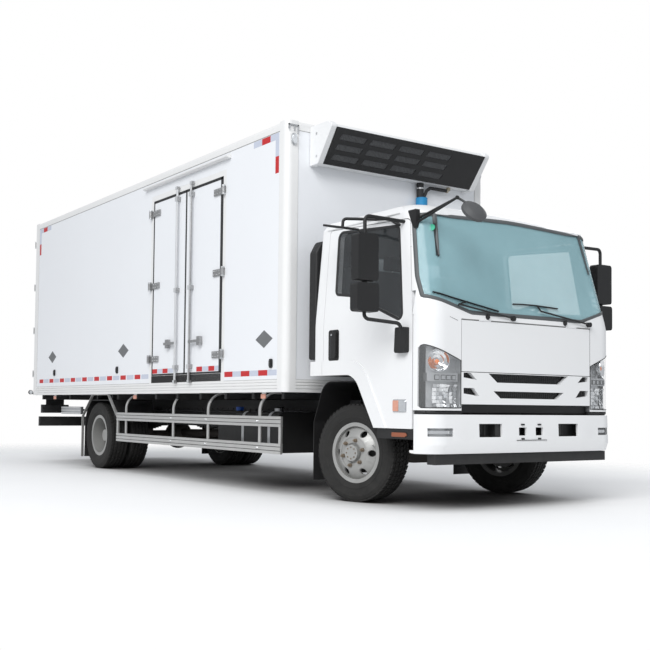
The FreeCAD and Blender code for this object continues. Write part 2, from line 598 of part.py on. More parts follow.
def leaf_gear(width, height, hinge_z, pin_x, rod_x, sill, head):
    """Hinges, lock rods with cams and keepers' hooks, and the handle, in the leaf's frame."""
    gear = []
    for z in hinge_z:
        tall = (z - STRAP_HALF, z + STRAP_HALF)
        strap = block((-pin_x, 165), (-STRAP_OFF - STRAP_THICK, -STRAP_OFF), tall)
        pad = block((8, 165), (-STRAP_OFF, 0), tall)
        eye = rod(KNUCKLE_R, (-pin_x, -PIN_PROUD, tall[0]), (-pin_x, -PIN_PROUD, tall[1]))
        bore = rod(PIN_R + PIN_CLEARANCE, (-pin_x, -PIN_PROUD, tall[0] - 5), (-pin_x, -PIN_PROUD, tall[1] + 5))
        gear.append(cut(fuse([strap, pad, eye]), bore))
    bar = rod(ROD_R, (rod_x, -ROD_PROUD, -sill), (rod_x, -ROD_PROUD, height + head))
    guides = [block((rod_x - 26, rod_x + 26), (-ROD_PROUD - 16, 0), (z - 22, z + 22))
              for z in (70, height * 0.46, height - 70)]
    cams = [block((rod_x - 26, rod_x + 14), (-ROD_PROUD - 13, -10), (z - 16, z + 16))
            for z in (-sill + 16, height + head - 16)]
    handle_z = height * 0.17
    lever = block((rod_x - 250, rod_x), (-ROD_PROUD - 15, -ROD_PROUD + 3), (handle_z - 13, handle_z + 13))
    catch = block((rod_x - 225, rod_x - 170), (-ROD_PROUD - 8, 0), (handle_z - 45, handle_z + 45))
    gear.append(fuse([bar, lever, catch] + guides + cams))
    return gear


def hinge_lugs(hinge_z, pin_x):
    """The fixed lugs and pins of one leaf's hinges, in the leaf's frame: their backs lie on the frame."""
    made = []
    for z in hinge_z:
        reach = STRAP_HALF + 1 + LUG_HEIGHT
        lugs = []
        for low, high in ((z - reach, z - STRAP_HALF - 1), (z + STRAP_HALF + 1, z + reach)):
            lugs += [rod(KNUCKLE_R, (-pin_x, -PIN_PROUD, low), (-pin_x, -PIN_PROUD, high)),
                     block((-pin_x - LUG_BACK, -pin_x + KNUCKLE_R), (-PIN_PROUD, 0), (low, high))]
        pin = rod(PIN_R, (-pin_x, -PIN_PROUD, z - reach), (-pin_x, -PIN_PROUD, z + reach))
        made.append(fuse(lugs + [pin]))
    return made


def place_leaf(shape, origin, turn, mirror_x=False):
    """Put a leaf-frame shape into the truck: turn about Z in degrees, then move to origin."""
    if mirror_x:
        shape = shape.mirror(V(0, 0, 0), V(1, 0, 0))
    shape = shape.copy()
    shape.rotate(V(0, 0, 0), V(0, 0, 1), turn)
    shape.translate(V(*origin))
    return shape


def door_table():
    """The four leaves of the box: two in the right-hand wall and two at the rear."""
    side_bottom = SILL_TOP + SIDE_FRAME_SILL + DOOR_GAP
    side_size = ((SIDE_DOOR_FRONT - SIDE_DOOR_REAR) / 2 - SIDE_FRAME - DOOR_GAP * 1.5,
                 SIDE_DOOR_TOP - SIDE_FRAME - DOOR_GAP - side_bottom)
    rear_bottom = SILL_TOP + DOOR_GAP
    rear_size = (BOX_SIDE - REAR_POST - DOOR_GAP * 1.5, BOX_TOP - ROOF - DOOR_GAP - rear_bottom)
    skin = BOX_SIDE - SKIN_INSET
    side_edge = SIDE_FRAME + DOOR_GAP
    rear_edge = REAR_POST + DOOR_GAP
    # name, frame node, leaf origin, turn, mirrored, (width, height), hinge heights, pin distance, rod overhangs
    return (
        ("side_door_rear", "side_door_frame", (SIDE_DOOR_REAR + side_edge, -skin, side_bottom), 0, False,
         side_size, SIDE_HINGE_Z, side_edge - SIDE_PIN_IN, (96, 60)),
        ("side_door_front", "side_door_frame", (SIDE_DOOR_FRONT - side_edge, -skin, side_bottom), 0, True,
         side_size, SIDE_HINGE_Z, side_edge - SIDE_PIN_IN, (96, 60)),
        ("rear_door_left", "box_rear_frame", (BOX_REAR, BOX_SIDE - rear_edge, rear_bottom), -90, False,
         rear_size, REAR_HINGE_Z, rear_edge - REAR_PIN_IN, (60, 50)),
        ("rear_door_right", "box_rear_frame", (BOX_REAR, -BOX_SIDE + rear_edge, rear_bottom), -90, True,
         rear_size, REAR_HINGE_Z, rear_edge - REAR_PIN_IN, (60, 50)),
    )


def box_doors():
    """The four leaves with their gear, and the two frames with the fixed halves of the hinges."""
    frames = {"side_door_frame": [side_door_frame()], "box_rear_frame": [rear_frame()]}
    doors = {}
    for name, frame, origin, turn, flip, size, hinges, pin_x, overhangs in door_table():
        local = [z - origin[2] for z in hinges]
        gear = leaf_gear(*size, local, pin_x, size[0] - ROD_FROM_SEAM, *overhangs)
        doors[name] = place_leaf(leaf(*size), origin, turn, flip)
        doors[name + "_gear"] = [place_leaf(g, origin, turn, flip) for g in gear]
        frames[frame] += [place_leaf(lug, origin, turn, flip) for lug in hinge_lugs(local, pin_x)]
    for frame, solids in frames.items():
        doors[frame] = fuse(solids)
    return doors


# ---------------------------------------------------------------- refrigeration unit

def unit_outline(inset=0.0):
    """Wedge side view of the unit, in XZ: deep at the top, shallow at the bottom."""
    wall = BOX_FRONT + PANEL_GAP
    return [(wall, UNIT_BOTTOM + inset, 0), (wall + UNIT_DEPTH_BOTTOM - inset, UNIT_BOTTOM + inset, 30),
            (wall + UNIT_DEPTH_TOP - inset, UNIT_TOP - 40 - inset, 30),
            (wall + UNIT_DEPTH_TOP - 70, UNIT_TOP - inset, 60),
            (wall, UNIT_TOP - inset, 0)]


def refrigeration_unit():
    """Moulded housing with two deeper end caps."""
    middle = prism("xz", unit_outline(UNIT_INSET), -UNIT_HALF + UNIT_END_CAP, UNIT_HALF - UNIT_END_CAP)
    caps = [prism("xz", unit_outline(), *ends) for ends in
            ((-UNIT_HALF, -UNIT_HALF + UNIT_END_CAP), (UNIT_HALF - UNIT_END_CAP, UNIT_HALF))]
    return fuse([middle] + caps)


def unit_grille():
    """Front cover plate with three rows of four slanted slots."""
    half = UNIT_HALF - UNIT_END_CAP - 1
    base = V(BOX_FRONT + UNIT_DEPTH_BOTTOM - UNIT_INSET, 0, UNIT_BOTTOM + UNIT_INSET)
    top = V(BOX_FRONT + UNIT_DEPTH_TOP - UNIT_INSET, 0, UNIT_TOP - 40 - UNIT_INSET)
    slope = top - base
    length = slope.Length
    plate = block((-half, half), (3, length - 3), (0.3, 9))
    lean = 20.0
    width, height = UNIT_SLOT
    slots = []
    for row in range(3):
        low = 0.145 * length + row * 0.27 * length
        for column in range(4):
            left = -half + 60 + column * 0.19 * 2 * half
            slots.append(prism("xy", [(left, low, 8), (left + width, low, 8), (left + width + lean, low + height, 8),
                                      (left + lean, low + height, 8)], -5, 20))
    plate = cut(plate, slots)
    up = slope.normalize()
    out = V(up.z, 0, -up.x)
    across = V(0, 1, 0)
    frame = FreeCAD.Matrix(across.x, up.x, out.x, base.x, across.y, up.y, out.y, base.y,
                           across.z, up.z, out.z, base.z, 0, 0, 0, 1)
    return plate.transformGeometry(frame) if frame.determinant() < 0 else plate.transformed(frame)


def unit_hoses():
    """Two insulated hoses from the unit down the front wall to the subframe, in their cover."""
    x, y = BOX_FRONT + 34 + PANEL_GAP, PIPE_Y
    top = UNIT_BOTTOM + UNIT_INSET - PANEL_GAP
    main = rod(34, (x, y, 905), (x, y, top))
    low, high = UNIT_BOTTOM - 212, UNIT_BOTTOM - 132
    sleeve = rod(55, (x + 22, y, low), (x + 22, y, high))
    reach = UNIT_BOTTOM - 20
    arch = bent_tube([(x + 12, y + 24, high - 10), (x + 12, y + 70, reach - 30), (x + 12, y + 115, reach),
                      (x + 12, y + 345, reach), (x + 12, y + 345, top)], 16, 30)
    return fuse([main, sleeve, arch])


# ---------------------------------------------------------------- cab

def cab_wire(z, half, front, rear, radius, bow):
    """One horizontal section of the cab: straight sides, rounded corners and a bowed front."""
    back = 45.0
    shoulder = front - bow - radius
    k = 1 - cos(pi / 4)
    edges = []
    left = [V(rear, half - back, z), V(rear + back * k, half - back * k, z), V(rear + back, half, z),
            V(shoulder, half, z), V(shoulder + radius * sin(pi / 4), half - radius * k, z),
            V(front - bow, half - radius, z)]
    right = [V(p.x, -p.y, p.z) for p in left]
    edges.append(Part.makeLine(right[0], left[0]))
    edges.append(Part.Arc(left[0], left[1], left[2]).toShape())
    edges.append(Part.makeLine(left[2], left[3]))
    edges.append(Part.Arc(left[3], left[4], left[5]).toShape())
    edges.append(Part.Arc(left[5], V(front, 0, z), right[5]).toShape())
    edges.append(Part.Arc(right[5], right[4], right[3]).toShape())
    edges.append(Part.makeLine(right[3], right[2]))
    edges.append(Part.Arc(right[2], right[1], right[0]).toShape())
    return Part.Wire(edges)


def cab_solid(inset):
    """The cab's whole form, drawn in from its outer skin by inset on every side."""
    wires = []
    last = len(CAB_SECTIONS) - 1
    for i, (z, half, front, rear, radius, bow) in enumerate(CAB_SECTIONS):
        drop = inset if i == last else (inset * 0.8 if i == last - 1 else 0)
        drop = -5 if i == 0 and inset else drop
        wires.append(cab_wire(z - drop if i else z - abs(drop), half - inset, front - inset, rear + inset,
                              radius - inset * 0.6, bow))
    return Part.makeLoft(wires, True, True)


def side_outline(front_x, low_z):
    """The cab's lower side edge with its wheel arch, closed over the roof."""
    return ARCH + [(DOOR_FRONT_X + 3, CAB_BOTTOM, 0), (DOOR_FRONT_X + 3, low_z, 0), (front_x, low_z, 0),
                   (front_x, 2500, 0), (CAB_REAR - 20, 2500, 0)]


def door_outline(grow):
    """The right or left door's outline, grown by the shut gap for the opening it lies in."""
    g = grow
    return [(DOOR_REAR_X - g, 900.0, 0), (DOOR_REAR_X - g, 2250.0 + g, 30), (768.0 + g, 2206.0 + g, 40),
            (DOOR_FRONT_X + g, WAIST_Z, 0), (DOOR_FRONT_X + g, CAB_BOTTOM - 30, 0), (300.0, CAB_BOTTOM - 30, 0)]


def screen_zone(grow):
    """The space the windscreen is cut by: its front outline within its side outline."""
    front = prism("yz", WINDSCREEN, 560, CAB_FRONT + 30, grow)
    return front.common(prism("xz", SCREEN_SIDE, -CAB_HALF - 10, CAB_HALF + 10, grow))


def cab_door_hinges():
    """Left door: the goosenecks and pins fixed to the shell, and the pockets and bores they need in the door."""
    x, y = DOOR_HINGE
    inner = CAB_HALF - CAB_WALL
    arms, pockets = [], []
    for z in DOOR_HINGE_Z:
        tall = (z - 10, z + 10)
        eye = rod(DOOR_PIN_R + 5, (x, y, tall[0]), (x, y, tall[1]))
        inward = block((x - 8, x + 8), (inner - 38, y), tall)
        forward = block((x - 8, x + 62), (inner - 38, inner - 22), tall)
        root = block((x + 42, x + 62), (inner - 38, inner + 6), tall)
        pin = rod(DOOR_PIN_R, (x, y, z - 40), (x, y, z + 40))
        arms.append(fuse([eye, inward, forward, root, pin]))
        pockets += [block((x - 13, DOOR_FRONT_X + 5), (inner - 5, CAB_HALF - DOOR_SKIN), (z - 16, z + 16)),
                    rod(DOOR_PIN_R + PIN_CLEARANCE, (x, y, z - 41), (x, y, z + 41))]
    return arms, pockets


def cab_parts():
    """The cab body split where its panels meet: shell, doors, lid, grille panel and glass."""
    outer, inner = cab_solid(0.0), cab_solid(CAB_WALL)
    far = CAB_HALF + 40
    under = prism("xz", side_outline(CAB_FRONT + 30, CORNER_BOTTOM), -far, far)
    flare_side = prism("xz", ARCH + FLARE_EDGE[::-1], CAB_HALF - 20, CAB_HALF + FLARE)
    flares = both_sides(flare_side)
    skin = cut(outer, inner)
    body = skin.common(under).fuse(flares).removeSplitter()
    door_zone = prism("xz", door_outline(0.0), CAB_HALF - 160, far)
    door_hole = prism("xz", door_outline(SHUT_GAP), CAB_HALF - 160, far)
    window = prism("xz", DOOR_WINDOW, CAB_HALF - 200, far)
    lid_zone = block((CAB_FRONT - 90, CAB_FRONT + 20), (-LID_HALF, LID_HALF), (LID_BOTTOM, LID_TOP))
    lid_hole = block((CAB_FRONT - 90, CAB_FRONT + 20), (-LID_HALF - SHUT_GAP, LID_HALF + SHUT_GAP),
                     (LID_BOTTOM - SHUT_GAP, 2 * LID_HINGE[1] - LID_TOP))
    lid_pins = [rod(LID_PIN_R, (LID_HINGE[0], y - 60, LID_HINGE[1]), (LID_HINGE[0], y + 60, LID_HINGE[1]))
                for y in (-480, 480)]
    grille_hole = block((CAB_FRONT - 90, CAB_FRONT + 20), (-LID_HALF - 0.3, LID_HALF + 0.3), (0, LID_BOTTOM - 4.7))
    screen = screen_zone(0.0)
    lamp_hole = prism("yz", HEADLAMP, LAMP_BACK, CAB_FRONT + 30)
    x, y = DOOR_HINGE
    pocket = fuse([rod(32, (x, y, CAB_BOTTOM - 40), (x, y, WAIST_Z + 25)),
                   rod(25, (x, y, WAIST_Z), (x, y, WAIST_Z + 205))])
    door = body.common(door_zone)
    tools = both_sides(door_hole) + both_sides(lamp_hole) + both_sides(pocket) + [lid_hole, grille_hole, screen]
    tools.append(block((CAB_REAR - 10, CAB_REAR + 70), (-620, 620), (1700, 2100)))
    glass = cut(cab_solid(3.0), cab_solid(3.0 + GLASS))
    arms, pockets = cab_door_hinges()
    shell = fuse([cut(body, tools)] + arms + [mirrored(arm) for arm in arms])
    parts = {
        "cab_shell": [shell] + lid_pins,
        "cab_door_left": cut(door, [window] + pockets),
        "front_lid": skin.common(lid_zone),
        "cab_glass": [glass.common(screen_zone(-0.3)),
                      block((CAB_REAR + 20, CAB_REAR + 26), (-619.7, 619.7), (1700.3, 2099.7))],
        "door_glass_left": glass.common(prism("xz", DOOR_WINDOW, CAB_HALF - 200, far, -0.3)),
    }
    lamp = skin.common(prism("yz", HEADLAMP, LAMP_BACK, CAB_FRONT + 30, -0.5))
    parts["headlamps"] = both_sides(lamp)
    parts["grille_panel"] = grille_panel(skin)
    parts["cab_door_right"] = mirrored(parts["cab_door_left"])
    parts["door_glass_right"] = mirrored(parts["door_glass_left"])
    return parts


def grille_panel(skin):
    """Panel under the lid: two long slots, two short ones at each end, and the open mouth below."""
    panel = skin.common(block((CAB_FRONT - 90, CAB_FRONT + 20), (-LID_HALF, LID_HALF),
                              (GRILLE_BOTTOM, LID_BOTTOM - 5)))
    tools = []
    # centre, half width at the top, half width at the bottom, top, bottom
    for centre, top_half, bottom_half, top, bottom in ((0, 442, 352, 1035, 968), (0, 392, 318, 902, 848)):
        tools.append(prism("yz", [(centre - bottom_half, bottom, 0), (centre + bottom_half, bottom, 0),
                                  (centre + top_half, top, 0), (centre - top_half, top, 0)],
                           CAB_FRONT - 100, CAB_FRONT + 30))
    for side in (-1, 1):
        tools.append(prism("yz", [(side * 560, 985, 0), (side * 692, 1000, 0), (side * 692, 1036, 0),
                                  (side * 622, 1036, 0)], CAB_FRONT - 100, CAB_FRONT + 30))
        tools.append(prism("yz", [(side * 535, 862, 0), (side * 692, 880, 0), (side * 692, 922, 0),
                                  (side * 590, 922, 0)], CAB_FRONT - 100, CAB_FRONT + 30))
    return cut(panel, tools)


def cab_floor():
    """Footwell, seat platform over the engine, the two steps and the tilt tube with its brackets."""
    half = CAB_HALF - CAB_WALL - 11
    top, deck = FLOOR_UNDER + SHEET, PLATFORM_UNDER + SHEET
    section = [(CAB_FRONT, top, 0), (430, top, 30), (352, deck, 30), (CAB_REAR, deck, 0),
               (CAB_REAR, PLATFORM_UNDER, 0), (320, PLATFORM_UNDER, 20), (396, FLOOR_UNDER, 20),
               (CAB_FRONT, FLOOR_UNDER, 0)]
    pan = prism("xz", section, -half, half).common(cab_solid(CAB_WALL + PANEL_GAP))
    tube = rod(TILT_TUBE_R, (CAB_HINGE[0], -560, CAB_HINGE[1]), (CAB_HINGE[0], 560, CAB_HINGE[1]))
    arms = [block((CAB_HINGE[0] - 40, CAB_HINGE[0] + 24), (y, y + 16), (CAB_HINGE[1] - 30, FLOOR_UNDER + 5))
            for y in (-560, 544)]
    wall = CAB_HALF - CAB_WALL
    well = block((STEP_REAR, STEP_FRONT), (620, wall - 8), (STEP_BOTTOM, FLOOR_UNDER - PANEL_GAP))
    space = block((STEP_REAR + 20, STEP_FRONT - 20), (640, wall + 20), (STEP_BOTTOM + 25, FLOOR_UNDER - 20))
    skirt = block((STEP_REAR, DOOR_FRONT_X + 6), (wall - 40, CAB_HALF - 10), (SKIRT_BOTTOM, CAB_BOTTOM - 6))
    return [fuse([pan, tube] + arms)] + both_sides(cut(well, space).fuse(skirt).removeSplitter())


def dashboard():
    """Full-width fascia with the steering column and wheel on the left."""
    half = CAB_HALF - CAB_WALL - 22
    section = [(740, 1150, 40), (CAB_FRONT, 1150, 0), (CAB_FRONT, 1455, 0), (790, 1440, 60), (710, 1310, 40)]
    fascia = prism("xz", section, -half, half).common(cab_solid(CAB_WALL + PANEL_GAP))
    behind_lid = block((CAB_FRONT - 140, CAB_FRONT), (-LID_HALF - 8, LID_HALF + 8), (LID_BOTTOM, LID_TOP + 10))
    fascia = cut(fascia, cut(behind_lid, cab_solid(CAB_WALL + 7)))
    return fuse([fascia, steering_wheel()])


def steering_wheel():
    """Rim, spokes and column, tipped towards the driver."""
    rim = Part.makeTorus(205, 15)
    hub = Part.makeCylinder(48, 46, V(0, 0, -40))
    spokes = [block((-200, 200), (-17, 17), (-18, 0)), block((-17, 17), (-200, 0), (-18, 0))]
    column = Part.makeCylinder(38, 300, V(0, 0, -330))
    wheel = fuse([rim, hub] + spokes + [column])
    wheel.rotate(V(0, 0, 0), V(0, 0, 1), 90)
    wheel.rotate(V(0, 0, 0), V(0, 1, 0), -28)
    wheel.translate(V(560, 470, 1530))
    return wheel


def seats():
    """Driver's seat and the double passenger seat."""
    return [moved(seat(520), 0, 470, 0), moved(seat(900), 0, -380, 0)]


def seat(width):
    """Cushion and backrest of one seat, its middle at y = 0."""
    deck = PLATFORM_UNDER + SHEET
    cushion = block((-210, 300), (-width / 2, width / 2), (deck + 30, deck + 170))
    back = prism("xz", [(-330, 1340, 30), (-200, 1340, 30), (-255, 1960, 50), (-345, 1960, 40)], -width / 2, width / 2)
    base = block((-170, 260), (-width / 2 + 30, width / 2 - 30), (deck + PANEL_GAP, deck + 30))
    return fuse([cushion, base, block((-262, -200), (-width / 2, width / 2), (deck + 40, 1360)), back])


def moved(shape, x, y, z):
    shape = shape.copy()
    shape.translate(V(x, y, z))
    return shape


# ---------------------------------------------------------------- cab trim

def mirror_set():
    """Left mirrors: a tall head over a wide-angle head on one tube arm."""
    def head(low, high, width):
        return prism("yz", [(MIRROR_Y - width / 2, low, 25), (MIRROR_Y + width / 2, low, 25),
                            (MIRROR_Y + width / 2, high, 25), (MIRROR_Y - width / 2, high, 25)],
                     MIRROR_X - 40, MIRROR_X + 50)
    base = prism("xz", [(722, 1180, 20), (850, 1180, 20), (850, 1372, 12), (734, 1372, 12)],
                 CAB_HALF + 0.3, CAB_HALF + 44)
    arm = bent_tube([(800, CAB_HALF + 30, 1350), (800, CAB_HALF + 60, 1400), (MIRROR_X, MIRROR_Y, 1430),
                     (MIRROR_X, MIRROR_Y, 2205), (712, CAB_HALF - 66, 2190)], 14, 40)
    return fuse([head(1712, 2062, 190), head(1480, 1694, 205), base, cut(arm, cab_solid(-PANEL_GAP))])


def front_mirror():
    """Look-down mirror on two stays from the right-hand pillar, over the end of the screen."""
    form = cab_solid(-PANEL_GAP)
    back = V(0.8, -0.1, 0.6)
    x, y, z = LOOK_DOWN
    head = Part.makeCylinder(100, 22, V(x, y, z), back).fuse(Part.makeCone(100, 58, 26, V(x, y, z) + back * 22, back))
    joint = V(x - 72, y - 92, z + 112)
    stays = [rod(9, foot, joint) for foot in ((755, y - 190, z - 55), (772, y - 175, z - 10))]
    stem = rod(9, joint, V(x, y, z) + back * 40)
    foot = block((742, 832), (y - 205, y - 165), (z - 75, z + 68))
    return cut(fuse([head] + stays + [stem, rod(14, joint - V(0, 8, 0), joint + V(0, 8, 0)), foot]), form)


def kerb_mirror():
    """Look-down mirror over the kerb, on a bent stay along the top of the right-hand door."""
    x, y, z = KERB_MIRROR
    head = prism("xz", [(x - 145, z + 20, 7), (x + 140, z - 40, 7), (x + 140, z - 22, 7), (x - 145, z + 38, 7)],
                 y - 75, y + 75)
    stay = bent_tube([(x + 20, y, z), (x + 20, y + 5, z + 66), (x + 90, y + 120, z + 66), (x + 220, -1006, z + 50),
                      (560, -1006, z + 34), (640, -1006, z - 12), (664, -975, z - 30)], 12, 30)
    return cut(fuse([head, stay]), cab_solid(-PANEL_GAP))


def wipers():
    """Two arms and blades parked across the bottom of the screen."""
    made = []
    for pivot_y, reach in ((-190.0, -560.0), (690.0, -560.0)):
        spindle = rod(20, (CAB_FRONT - 30, pivot_y, 1468), (CAB_FRONT + 18, pivot_y, 1468))
        tip_y = pivot_y + reach
        arm = rod(7, (CAB_FRONT + 10, pivot_y, 1468), (CAB_FRONT - 2, tip_y, 1545))
        made.append(cut(fuse([spindle, arm]), cab_solid(-PANEL_GAP)))
    return made


def snorkel():
    """Air intake trunk on the back of the cab, right-hand side."""
    outline = [(-1018, 1170, 0), (-882, 1170, 0), (-882, 2192, 24), (-960, 2192, 40), (-1018, 2090, 60)]
    return prism("yz", outline, CAB_REAR - 105, CAB_REAR - PANEL_GAP)


# ---------------------------------------------------------------- bumper and under-body

def bumper_form(inset):
    """The bumper's outer form drawn in by inset, running back beside the cab's front corners."""
    low, high = (BUMPER_BOTTOM - inset, BUMPER_TOP + inset)
    wires = []
    for z, tuck in ((low, 26), (500, 0), (high, 10)):
        wires.append(cab_wire(z, BUMPER_HALF - inset, BUMPER_FRONT - inset - tuck, 620, 178 - inset * 0.5, 16))
    return Part.makeLoft(wires, True, True)


def bumper():
    """Steel bumper: rounded ends, two tow openings, two lamp recesses and two plate slots."""
    behind = block((600, DOOR_FRONT_X + 18), (-1200, 1200), (300, 800))
    shell = cut(bumper_form(0), [bumper_form(BUMPER_WALL), behind])
    tools = []
    # centre, low z, half width, height
    for y, z, half, height in ((430, 553, 118, 100), FOG_LAMP, (92, 563, 42, 62)):
        hole = block((DOOR_FRONT_X + 20, BUMPER_FRONT + 20), (y - half, y + half), (z, z + height))
        tools += both_sides(hole)
    return cut(shell, tools)


def fog_lamps():
    """Lamp bodies in the bumper's two outer recesses, set back from its face."""
    y, z, half, height = FOG_LAMP
    lamp = cut(bumper_form(14), bumper_form(62))
    return both_sides(lamp.common(block((DOOR_FRONT_X + 30, BUMPER_FRONT),
                                        (y - half + PANEL_GAP, y + half - PANEL_GAP),
                                        (z + PANEL_GAP, z + height - PANEL_GAP))))


def underrun_bars():
    """Front bar below the bumper and rear bar across the tail, each on two legs from the rails."""
    foot = RAIL_TOP - RAIL_HEIGHT - PANEL_GAP
    legs_y = (RAIL_OUTER - RAIL_FLANGE, RAIL_OUTER - 10)
    front = block((DOOR_FRONT_X + 60, 1040), (-940, 940), (350, 426))
    front_leg = block((DOOR_FRONT_X - 10, DOOR_FRONT_X + 80), legs_y, (350, foot))
    rear = block((BOX_REAR + 8, BOX_REAR + 66), (-1090, 1090), (470, 600))
    rear_leg = block((BOX_REAR + 60, BOX_REAR + 170), legs_y, (470, foot))
    return [fuse([front] + both_sides(front_leg)), fuse([rear] + both_sides(rear_leg))]


def side_tanks():
    """Fuel tank and additive tank on the right, battery box and air tanks on the left."""
    y = (RAIL_OUTER + 0.3, 900)
    fuel = prism("yz", [(-y[1], 340, 70), (-y[0], 340, 70), (-y[0], 720, 70), (-y[1], 720, 70)], -1980, -1180)
    additive = prism("yz", [(-y[1] + 60, 400, 50), (-y[0], 400, 50), (-y[0], 700, 50), (-y[1] + 60, 700, 50)],
                     -2420, -2060)
    battery = block((-1850, -1180), (y[0], y[1]), (400, 700))
    tanks = [rod(125, (x, RAIL_OUTER + 125.3, 600), (x + 540, RAIL_OUTER + 125.3, 600)) for x in (-2900, -3520)]
    return [fuel, additive, battery] + tanks


def side_guards():
    """Two rails each side on four curved hangers, with end plates and the strip over the rear wheel."""
    y = GUARD_Y
    rails = [block((GUARD_REAR, GUARD_FRONT), (y - 22, y), (z, z + GUARD_RAIL)) for z in GUARD_Z]
    back, bend, t = y - 22, 165.0, HANGER_THICK
    low, high = GUARD_Z[0] + 4, BOX_BOTTOM - PANEL_GAP
    outline = [(back, low, 0), (back, high, bend), (back - 230, high, 0), (back - 230, high - t, 0),
               (back - t, high - t, bend - t), (back - t, low, 0)]
    hangers = [prism("yz", outline, x - 20, x + 20) for x in GUARD_HANGERS]
    ends = [block((x, x + 36), (y - 22, y - 2), (GUARD_Z[0], GUARD_Z[1] + GUARD_RAIL))
            for x in (GUARD_FRONT - 40, GUARD_REAR)]
    top, rise = BOX_BOTTOM - 1, GUARD_Z[1] + 40
    strip = strip_run([(GUARD_REAR + 20, rise - 40), (GUARD_REAR + 5, rise), (REAR_AXLE_X + 375, top),
                       (REAR_AXLE_X - 110, top), (FLAP_X, rise), (FLAP_X, FLAP_BOTTOM)])
    return both_sides(fuse(rails + hangers + ends + [strip]))


def strip_run(path):
    """A flat strip bent along (x, z) points, seen from the side."""
    inner = []
    for i, (x, z) in enumerate(path):
        before, after = path[max(i - 1, 0)], path[min(i + 1, len(path) - 1)]
        turn = atan2(after[1] - before[1], after[0] - before[0])
        inner.append((x - STRIP * 1.1 * sin(turn), z + STRIP * 1.1 * cos(turn), 0))
    return prism("xz", [(x, z, 0) for x, z in path] + inner[::-1], *STRIP_Y)


def tail_lamps():
    """Lamp clusters on their brackets under the box."""
    lamp = block((BOX_REAR + 60, BOX_REAR + 120), (700, 1080), (650, 765))
    bracket = block((BOX_REAR + 90, BOX_REAR + 96), (760, 1020), (765, BOX_BOTTOM - PANEL_GAP))
    return both_sides(fuse([lamp, bracket]))


def mudguards():
    """Moulded guards over the rear twin wheels, each with a flap hung behind the wheels."""
    low, high = REAR_WHEEL_Y - DUAL_SPACING - 130, REAR_WHEEL_Y + 115
    x = REAR_AXLE_X
    top, sheet = BOX_BOTTOM - BEARER_HEIGHT - 4, 12.0
    rear = FLAP_X - 2
    outline = [(x + TYRE_R + 110, 600, 0), (x + TYRE_R, top - sheet, 60), (x - 300, top - sheet, 120),
               (rear + sheet / 2, 560, 0), (rear + sheet / 2, FLAP_BOTTOM, 0), (rear - sheet / 2, FLAP_BOTTOM, 0),
               (rear - sheet / 2, 570, 0), (x - 310, top, 120), (x + TYRE_R + 12, top, 60),
               (x + TYRE_R + 124, 600, 0)]
    guard = prism("xz", outline, low, high)
    ties = [block((x + dx - 20, x + dx + 20), (low + 30, high - 60), (top - 5, BOX_BOTTOM - PANEL_GAP))
            for dx in (-190, 270)]
    return both_sides(fuse([guard] + ties))


def front_mudguards():
    """Liner over each front wheel with its flap behind, on two brackets from the chassis rail."""
    inner, outer = 640.0, CAB_HALF - CAB_WALL - 12
    sheet, rear, top = 8.0, LINER_REAR, 985.0
    outline = [(360, 815, 0), (250, top, 90), (rear + 150, top, 160), (rear, 640, 60), (rear, FLAP_BOTTOM + 20, 0),
               (rear + sheet, FLAP_BOTTOM + 20, 0), (rear + sheet, 645, 52), (rear + 154, top - sheet, 152),
               (246, top - sheet, 82), (352, 810, 0)]
    liner = prism("xz", outline, inner, outer)
    low_arm = block((rear - 20, rear + 2), (RAIL_OUTER + PANEL_GAP, inner + 30), (650, 690))
    top_arm = block((HOOP_X - 4, HOOP_X + 4), (RAIL_OUTER + 60 + PANEL_GAP, inner + 30), (top - 110, top - 6))
    return both_sides(fuse([liner, low_arm, top_arm]))


# ---------------------------------------------------------------- the truck

def main():
    os.makedirs("parts", exist_ok=True)
    parts = {
        "chassis_frame": chassis_frame(), "body_subframe": body_subframe(), "engine_block": engine_block(),
        "leaf_springs": leaf_springs(), "front_axle_beam": front_axle_beam(), "rear_axle": rear_axle(),
        "box_edge_profiles": edge_profiles(),
        "refrigeration_unit": refrigeration_unit(), "unit_grille": unit_grille(), "unit_hoses": unit_hoses(),
        "cab_floor": cab_floor(), "dashboard": dashboard(), "seats": seats(),
        "front_mirror": front_mirror(), "wipers": wipers(), "snorkel": snorkel(),
        "front_bumper": bumper(), "underrun_bars": underrun_bars(), "side_tanks": side_tanks(),
        "side_guards": side_guards(), "tail_lamps": tail_lamps(), "rear_mudguards": mudguards(),
        "front_mudguards": front_mudguards(), "fog_lamps": fog_lamps(),
        "knuckle_left": steered(knuckle(), 1), "knuckle_right": steered(mirrored(knuckle()), -1),
        "mirror_left": mirror_set(), "mirror_right": [mirrored(mirror_set()), kerb_mirror()],
    }
    parts.update(box_panels())
    parts.update(box_doors())
    parts.update(cab_parts())
    for name, side in (("left", 1), ("right", -1)):
        flip = side < 0
        inner_y = REAR_WHEEL_Y - DUAL_SPACING
        parts["front_tyre_" + name] = steered(placed(tyre(), 0, side * FRONT_WHEEL_Y), side)
        rim = placed(fuse([disc_rim(), front_hub()]), 0, side * FRONT_WHEEL_Y, flip)
        parts["front_rim_" + name] = steered(rim, side)
        parts["rear_tyres_" + name] = [placed(tyre(), REAR_AXLE_X, side * y) for y in (inner_y, REAR_WHEEL_Y)]
        parts["rear_rims_" + name] = placed(twin_rims(), REAR_AXLE_X, side * REAR_WHEEL_Y, flip)
    for node, solids in parts.items():
        export(node, solids)


main()
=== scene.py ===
import bpy
import bmesh
import json
import math
from mathutils import Matrix, Vector

